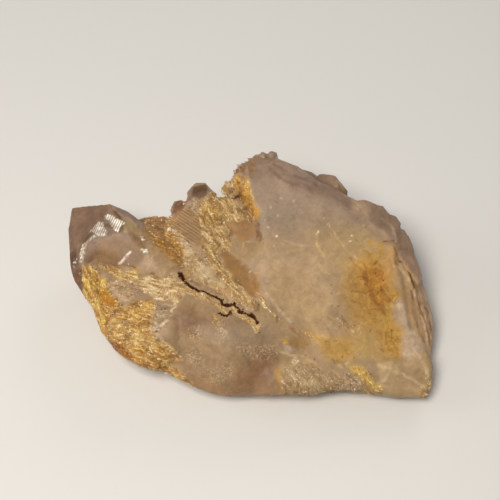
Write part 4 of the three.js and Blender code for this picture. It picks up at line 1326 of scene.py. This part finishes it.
def piece(name, points, faces, numbers, colours, smooth=True):
    """An object of those points and faces, which rides on the stone."""
    mesh = bpy.data.meshes.new(name)
    mesh.from_pydata(points, [], faces)
    for key, values in {**numbers, **dict(zip(CHANNELS, colours.T))}.items():
        column = mesh.attributes.new(key, "FLOAT", "POINT")
        column.data.foreach_set("value", np.asarray(values, np.float32))
    mesh.polygons.foreach_set("use_smooth", np.full(len(faces), smooth))
    mesh.update()
    made = shown(name, mesh)
    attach(made, "root")
    print(f"{name}: {len(points)} points, {len(faces)} faces")
    return made


skin_numbers = {"sugar": sugar, "clear": clear, "iron": iron, "shine": shine, "wisps": wisps}
stone = piece("stone_skin", skin, triangles, skin_numbers, tone)
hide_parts(STONE)

# %% [markdown]
# The crust itself: tens of thousands of six-sided grains, each pointed at both ends as quartz crystals
# are. Instances would be lighter, but the export wants real meshes. So one grain is worked out once,
# and then turned, scaled and moved as whole arrays.

# %% One grain
SIDES = 6
TIP = 1.5  # how far the tips stand from the middle, where a corner of the ring stands at 1


def grain_shape():
    """Two tips on the long axis and a ring of six corners round it: eight points, twelve triangles."""
    turns = np.arange(SIDES) * 2 * math.pi / SIDES
    ring = np.stack([np.cos(turns), np.sin(turns), 0 * turns], axis=1)
    points = np.vstack([ring, [[0, 0, TIP]], [[0, 0, -TIP]]])
    here = np.arange(SIDES)
    following = (here + 1) % SIDES
    upper = np.stack([here, following, np.full(SIDES, SIDES)], axis=1)
    lower = np.stack([following, here, np.full(SIDES, SIDES + 1)], axis=1)
    return points, np.vstack([upper, lower])


def turned_frames(axes, spins):
    """For each axis, a 3 by 3 turn that takes Z to it, after a spin about Z: its columns are two
    directions across the axis, and the axis."""
    helper = np.where(np.abs(axes[:, 2:3]) < 0.9, [[0.0, 0.0, 1.0]], [[1.0, 0.0, 0.0]])
    across = np.cross(helper, axes)
    across /= np.linalg.norm(across, axis=1, keepdims=True)
    other = np.cross(axes, across)
    first = across * np.cos(spins)[:, None] + other * np.sin(spins)[:, None]
    return np.stack([first, np.cross(axes, first), axes], axis=2)


print("one grain has", len(grain_shape()[1]), "triangles")

# %% [markdown]
# Where the grains sit is drawn by lot, with the sugar as the odds. Most of them lie along the rows, in
# threads that are pale or brown, and some stand up and sparkle. Geometry nodes could scatter them as
# well, but a few lines of arrays do it too, and hand each grain its tone at the same time.

# %% Scattering


def scattered(weight, count, chance):
    """Places on the skin, likelier where the weight of a point is higher: the triangle is drawn by area
    times weight, and the place in it evenly. Gives places and the number of the point by each."""
    a, b, c = (skin[triangles[:, k]] for k in range(3))
    area = np.linalg.norm(np.cross(b - a, c - a), axis=1)
    total = np.cumsum(area * weight[triangles].mean(axis=1))
    chosen = np.searchsorted(total, chance.random(count) * total[-1])
    u, v = chance.random((2, count))
    over = u + v > 1
    u, v = np.where(over, 1 - u, u), np.where(over, 1 - v, v)
    places = a[chosen] + u[:, None] * (b - a)[chosen] + v[:, None] * (c - a)[chosen]
    return places, triangles[chosen, 0]


strongest = np.argmax(np.stack(row_shares(base)), axis=0)
row_angle = np.radians(np.array(ROW_ANGLES)[strongest])
row_ways = np.stack([np.cos(row_angle), np.sin(row_angle), 0 * row_angle], axis=1)
print("rows run in", len(ROW_ANGLES), "directions")

# %% A crust of grains
THREAD_DEPTH = np.array([0.42, 0.55, 0.76])  # how much the threads change red, green and blue
THREAD_WIDTH = 0.0005  # in metres
GRAIN_CHANGE = 0.24  # how much the tones of single grains differ
# Grains painted near white, as a painted glint of the lamp.
PAINTED_GLINT_GRAIN = (250, 236, 206)
BRIGHTEST = 0.95  # no grain is lighter than this, in any channel


def crust(name, weight, count, radius, seed, spread, lean, colour, length, flat, pale=0.04):
    """A piece of count grains of about that radius in millimetres, scattered by weight. Flat ones lie
    along the rows, and the others stand up. Each takes the tone of the skin under it, made paler or
    browner in threads along the rows, or the one colour given."""
    chance = np.random.default_rng(seed)
    places, nearest = scattered(weight, count, chance)
    axes = (1 - flat) * normals[nearest] + flat * row_ways[nearest]
    axes = axes + lean * chance.normal(size=(count, 3))
    axes /= np.linalg.norm(axes, axis=1, keepdims=True)
    frames = turned_frames(axes, chance.random(count) * 2 * math.pi)
    scale = radius * MM * np.exp(spread * chance.normal(size=count))
    tall = length * (0.7 + 0.6 * chance.random(count))
    stretch = np.stack([np.ones(count), np.ones(count), tall], axis=1)
    shape, faces = grain_shape()
    local = shape[None] * (scale[:, None] * stretch)[:, None]
    points = np.einsum("nij,nkj->nki", frames, local) + places[:, None]
    points[..., 2] = np.maximum(points[..., 2], low[2])
    under = tone[nearest] if colour is None else np.tile(paint(*colour), (count, 1))
    threads = np.clip(in_rows(places, THREAD_WIDTH, 0.2, 81) * 3, -1, 1)[:, None]
    change = threads * THREAD_DEPTH + GRAIN_CHANGE * chance.normal(size=(count, 1))
    # A share pale of the grains is painted near white, as a painted glint.
    under = laid(under * np.exp(change), 0.8 * (chance.random(count) < pale), PAINTED_GLINT_GRAIN)
    colours = np.repeat(np.clip(under, 0, BRIGHTEST), len(shape), axis=0)
    offsets = np.arange(count)[:, None, None] * len(shape)
    rows = (faces[None] + offsets).reshape(-1, 3)
    made = piece(name, points.reshape(-1, 3), rows, {}, colours, False)
    return made


print("threads change the blue by up to", np.round(np.exp(THREAD_DEPTH[2]), 1), "times")

# %% [markdown]
# The pieces of the crust. The long flat grains make the threads, the shorter ones over them break the
# light, and a few coarse ones stand out. Bright crystals, painted near white as a painted glint, sit
# alone on the point and the stripes, brown ones stand like teeth on the crest of the wall, and dull
# dark ones fill the crack.

# %% Sugar pieces
WALL_TEETH = [(44.6, 79.5), (45.5, 84), (46.6, 87.5), (48.5, 91), (50.5, 93)]
SPARKS = [
    (30, 64.2), (28.6, 65.5), (32.5, 76.9), (40.1, 71.4), (39.6, 63.2), (37.7, 62.8), (21, 63.8),
    (21.5, 63.2), (21.5, 58.2), (21.9, 57.7), (24.2, 55.9), (22.4, 57.4), (28.8, 66), (30.2, 63.9),
    (5.2, 61.2), (5, 59.4), (5.3, 57.8), (61.6, 10.6), (62.3, 11.7), (62.9, 10.3), (22.8, 38.2),
    (18.6, 43.4),
]
up = normals @ LOOK
sparkle = spots(base, SPARKS, 0.15, 0.25) * step(up, 0.2, 0.4)
wall_teeth = streak(base, WALL_TEETH, 0.6, 0.5)
middle = plan([(33, 50)])[0]
seen = 0.25 + 0.75 * step(up, -0.1, 0.3)
weight = sugar**1.3 * seen * (0.5 + step(rows, -0.4, 0.2)) * (1 - 0.8 * near_crack)
left_weight = weight * (base[:, 0] < middle[0])
right_weight = weight - left_weight

# Name, odds, count, radius in mm, seed, spread of sizes, lean, colour, length, flat and pale, the
# share of grains painted near white as a painted glint.
crusts = [
    crust("sugar_left", left_weight, 16000, 0.09, 1, 0.3, 0.25, None, 3.2, 0.85),
    crust("sugar_left_more", left_weight, 16000, 0.1, 2, 0.3, 0.5, None, 2.0, 0.7),
    crust("sugar_right", right_weight, 16000, 0.08, 3, 0.3, 0.25, None, 3.2, 0.85),
    crust("sugar_right_more", right_weight, 16000, 0.085, 4, 0.3, 0.6, None, 1.6, 0.5),
    crust("coarse_grains", weight, 900, 0.2, 5, 0.3, 0.9, None, 1.0, 0.0),
    # Near white, as a painted glint of the lamp.
    crust("bright_crystals", sparkle, 340, 0.13, 7, 0.4, 0.9, (244, 224, 190), 1.0, 0.0),
    crust("wall_crystals", wall_teeth, 150, 0.28, 9, 0.35, 0.5, (166, 134, 106), 1.2, 0.0, 0.0),
]
crack_filling = crust(
    "crack_filling", near_crack**2, 3200, 0.09, 6, 0.4, 0.9, (74, 36, 10), 1.0, 0.0, 0.0
)
print(len(crusts) + 1, "pieces of grains")

# %% [markdown]
# The finishes. A network of nodes is hard to read as a list of links, so its maths is written as
# formulas: one small class stands for a number in the shader, and adding or multiplying it adds the
# node.

# %% Shader maths in Python


class Value:
    """A number that a shader works out. Python's + - and * on it add the Math nodes."""

    def __init__(self, finish, socket):
        """The number that comes out of that socket, in that finish."""
        self.finish = finish
        self.socket = socket

    def maths(self, operation, first, second, clamp=False):
        """The operation on two numbers, kept from 0 to 1 where clamp is set."""
        settings = {"operation": operation, "use_clamp": clamp}
        return self.finish.node("ShaderNodeMath", settings, {0: first, 1: second})

    def __add__(self, other):
        """This number plus another."""
        return self.maths("ADD", self, other)

    __radd__ = __add__

    def __sub__(self, other):
        """This number less another."""
        return self.maths("SUBTRACT", self, other)

    def __rsub__(self, other):
        """Another number less this one."""
        return self.maths("SUBTRACT", other, self)

    def __mul__(self, other):
        """This number times another."""
        return self.maths("MULTIPLY", self, other)

    __rmul__ = __mul__

    def __abs__(self):
        """This number without its sign."""
        return self.maths("ABSOLUTE", self, 0.0)

    def clamped(self):
        """This number, but 0 where it is less and 1 where it is more."""
        return self.maths("ADD", self, 0.0, clamp=True)

    def between(self, start, end):
        """0 at start, 1 at end, straight between them and never outside."""
        sockets = {"Value": self, "From Min": start, "From Max": end}
        return self.finish.node("ShaderNodeMapRange", {"clamp": True}, sockets)


print("shader numbers can be added, subtracted and multiplied")

# %% [markdown]
# A finish is a material that adds its own nodes. Each node's settings are set before its sockets,
# because some settings change which sockets there are.

# %% A finish


class Finish:
    """A material whose nodes are added from Python."""

    def __init__(self, name):
        """An empty material of that name, which reads places on the object."""
        self.material = bpy.data.materials.new(name)
        self.material.use_nodes = True
        self.tree = self.material.node_tree
        self.tree.nodes.clear()
        self.place = self.node("ShaderNodeTexCoord", {}, {}, "Object")

    def node(self, kind, settings, sockets, output=0):
        """A node of that kind, with its settings set first and its sockets given values or links."""
        made = self.tree.nodes.new(kind)
        for key, value in settings.items():
            setattr(made, key, value)
        for key, value in sockets.items():
            if isinstance(value, Value):
                self.tree.links.new(value.socket, made.inputs[key])
            elif isinstance(value, np.ndarray):
                made.inputs[key].default_value = (*value.tolist(), 1.0)
            else:
                made.inputs[key].default_value = value
        return Value(self, made.outputs[output])

    def number(self, name):
        """The number that the mesh holds for each point under that name."""
        return self.node("ShaderNodeAttribute", {"attribute_name": name}, {}, "Fac")

    def tone(self):
        """The colour that the mesh holds for each point."""
        parts = {i: self.number(key) for i, key in enumerate(CHANNELS)}
        return self.node("ShaderNodeCombineColor", {}, parts)

    def noise(self, size, detail=4, rough=0.55, bend=0.0):
        """Noise with lumps about size millimetres wide, mostly between 0.3 and 0.7."""
        sockets = {
            "Vector": self.place, "Scale": 1 / (size * MM), "Detail": detail,
            "Roughness": rough, "Distortion": bend,
        }
        return self.node("ShaderNodeTexNoise", {}, sockets, "Fac")

    def blend(self, share, first, second, kind="MIX"):
        """The first colour where share is 0 and the second where it is 1."""
        settings = {"data_type": "RGBA", "blend_type": kind}
        return self.node("ShaderNodeMix", settings, {"Factor": share, 6: first, 7: second}, 2)

    def bump(self, height, strength, distance):
        """Normals tilted as a relief of that height would tilt them, distance millimetres high."""
        sockets = {"Height": height, "Strength": strength, "Distance": distance * MM}
        return self.node("ShaderNodeBump", {}, sockets)

    def output(self, surface, volume=None):
        """What the object shows: a surface, and what fills it."""
        sockets = {"Surface": surface}
        if volume:
            sockets["Volume"] = volume
        made = self.tree.nodes.new("ShaderNodeOutputMaterial")
        for key, value in sockets.items():
            self.tree.links.new(value.socket, made.inputs[key])


print("a finish is ready to be mixed")

# %% [markdown]
# Some of what colours quartz is too fine for the net: veins and grit everywhere, rust and threads of
# iron in the veils, and white strands in the wisps. So they come from noise in the material, where
# the numbers of the skin allow them. A denser net could hold them too, but it would pass the most
# triangles that a piece may have.

# %% Tone of the quartz


def quartz_tone(f):
    """The tone of each point, with veins, grit, iron and strands laid over it one by one, and the two
    numbers that the relief needs too, grit and sugar. Threads and strands lie where noise is close to
    its middle."""
    tone = f.tone()
    veins = f.noise(2.2, 5, 0.62, 0.9)
    tone = f.blend(0.45, tone, veins.between(0.28, 0.72) * 0.44 + 0.29, "OVERLAY")
    grit = f.noise(0.45, 3, 0.65)
    sugar = f.number("sugar")
    strength = 0.12 + sugar * 0.6
    tone = f.blend(strength, tone, grit.between(0.3, 0.7) * 0.5 + 0.26, "OVERLAY")
    iron = f.number("iron")
    threads = 1 - abs(f.noise(3.2, 5, 0.65, 1.6) - 0.5) * 16
    threads = threads.clamped() * f.noise(2.0, 3).between(0.42, 0.6)
    tone = f.blend((iron * threads).clamped() * 0.8, tone, paint(112, 66, 24))
    rust = f.noise(1.6, 5, 0.7, 0.6)
    tone = f.blend((iron * rust.between(0.48, 0.68)).clamped() * 0.9, tone, paint(154, 102, 36))
    tone = f.blend((iron * rust.between(0.48, 0.34)).clamped() * 0.5, tone, paint(204, 166, 92))
    specks = (iron + 0.12).clamped() * f.noise(0.6, 1, 0.5).between(0.7, 0.75)
    tone = f.blend(specks.clamped(), tone, paint(96, 54, 20))
    strands = (1 - abs(f.noise(0.9, 3, 0.6, 1.4) - 0.5) * 13).clamped()
    strands = strands * f.noise(0.6, 2).between(0.42, 0.58) * f.number("wisps")
    tone = f.blend(strands.clamped() * 0.85, tone, paint(226, 202, 164))
    return tone, grit, sugar


print("rust looks like", np.round(paint(154, 102, 36), 2))

# %% [markdown]
# Milky quartz lets light in and scatters it, so it gets subsurface scattering, with red going deepest.
# Clear quartz only bends light and dims it, so it is a glass filled with thin smoke. The clear number
# of the skin mixes the two. Glass all through would be truer to a single clear crystal, but the floor
# would show through it, and this stone is milky to its heart.

# %% Milky and clear quartz
QUARTZ_IOR = 1.544
SMOKE_DENSITY = 110.0


def quartz_finish():
    """Milky quartz, glossier where the skin shines, mixed with clear quartz by the clear number, less
    wherever there is haze."""
    f = Finish("milky quartz")
    tone, grit, sugar = quartz_tone(f)
    height = f.noise(0.8, 5, 0.6) + grit * 0.25 + sugar * grit * 1.2
    shine = f.number("shine")
    milky = f.node(
        "ShaderNodeBsdfPrincipled",
        {},
        {
            "Base Color": tone, "Roughness": 0.48 - shine * 0.3, "IOR": QUARTZ_IOR,
            "Specular IOR Level": 0.25,
            "Normal": f.bump(height, 0.3, 0.1),
            "Subsurface Weight": 0.35, "Subsurface Radius": (1.0, 0.8, 0.62),
            "Subsurface Scale": 0.0016,
        },
    )
    glassy = f.node(
        "ShaderNodeBsdfPrincipled",
        {},
        {
            "Base Color": paint(250, 240, 228), "Roughness": 0.06, "IOR": QUARTZ_IOR,
            "Transmission Weight": 1.0, "Normal": f.bump(f.noise(1.6, 4), 0.12, 0.1),
        },
    )
    haze = f.noise(5, 4, 0.6, 0.6).between(0.42, 0.7)
    share = (f.number("clear") * (0.7 - haze * 0.4)).clamped()
    surface = f.node("ShaderNodeMixShader", {}, {0: share, 1: milky, 2: glassy})
    smoke_sockets = {"Color": paint(184, 146, 116), "Density": SMOKE_DENSITY}
    smoke = f.node("ShaderNodeVolumeAbsorption", {}, smoke_sockets)
    f.output(surface, smoke)
    return f.material


stone.data.materials.append(quartz_finish())
print("the skin's finish has", len(stone.data.materials[0].node_tree.nodes), "nodes")

# %% [markdown]
# The grains of the crust are glassier than the skin, and lit through a little. Glass proper would be
# truer for one grain, but thousands of them together look like cloudy sugar, and take long to render.

# %% Sugar crust finish


def sugar_finish():
    """Grains of glassy quartz, in the tones that they were given."""
    f = Finish("sugar crust")
    tone = f.blend(f.noise(0.9, 3, 0.6).between(0.5, 0.7) * 0.25, f.tone(), paint(150, 102, 46))
    surface = f.node(
        "ShaderNodeBsdfPrincipled",
        {},
        {
            "Base Color": tone, "Roughness": 0.3, "IOR": QUARTZ_IOR,
            "Subsurface Weight": 0.15, "Subsurface Radius": (1.0, 0.8, 0.6),
            "Subsurface Scale": 0.0003,
        },
    )
    f.output(surface)
    return f.material


sugar_material = sugar_finish()
for made in crusts:
    made.data.materials.append(sugar_material)
print("sugar finish on", len(crusts), "pieces")

# %% [markdown]
# The crack is filled with iron rust and dirt. It has no gloss, and stays dark from every side.

# %% Crack finish


def crack_finish():
    """Iron rust and dirt: dull, and dark all through."""
    f = Finish("crack filling")
    f.output(f.node(
        "ShaderNodeBsdfPrincipled",
        {},
        {"Base Color": f.tone(), "Roughness": 0.9, "Specular IOR Level": 0.1},
    ))
    return f.material


crack_filling.data.materials.append(crack_finish())
print("crack finish on", crack_filling.name)

# %% [markdown]
# The floor looks like pale, dull paper, so that nothing on it draws the eye from the stone.

# %% Floor finish
f = Finish("pale paper")
paper = {"Base Color": paint(222, 220, 216), "Roughness": 0.8}
f.output(f.node("ShaderNodeBsdfPrincipled", {}, paper))
floor.data.materials.append(f.material)
print("floor finish on", floor.name)
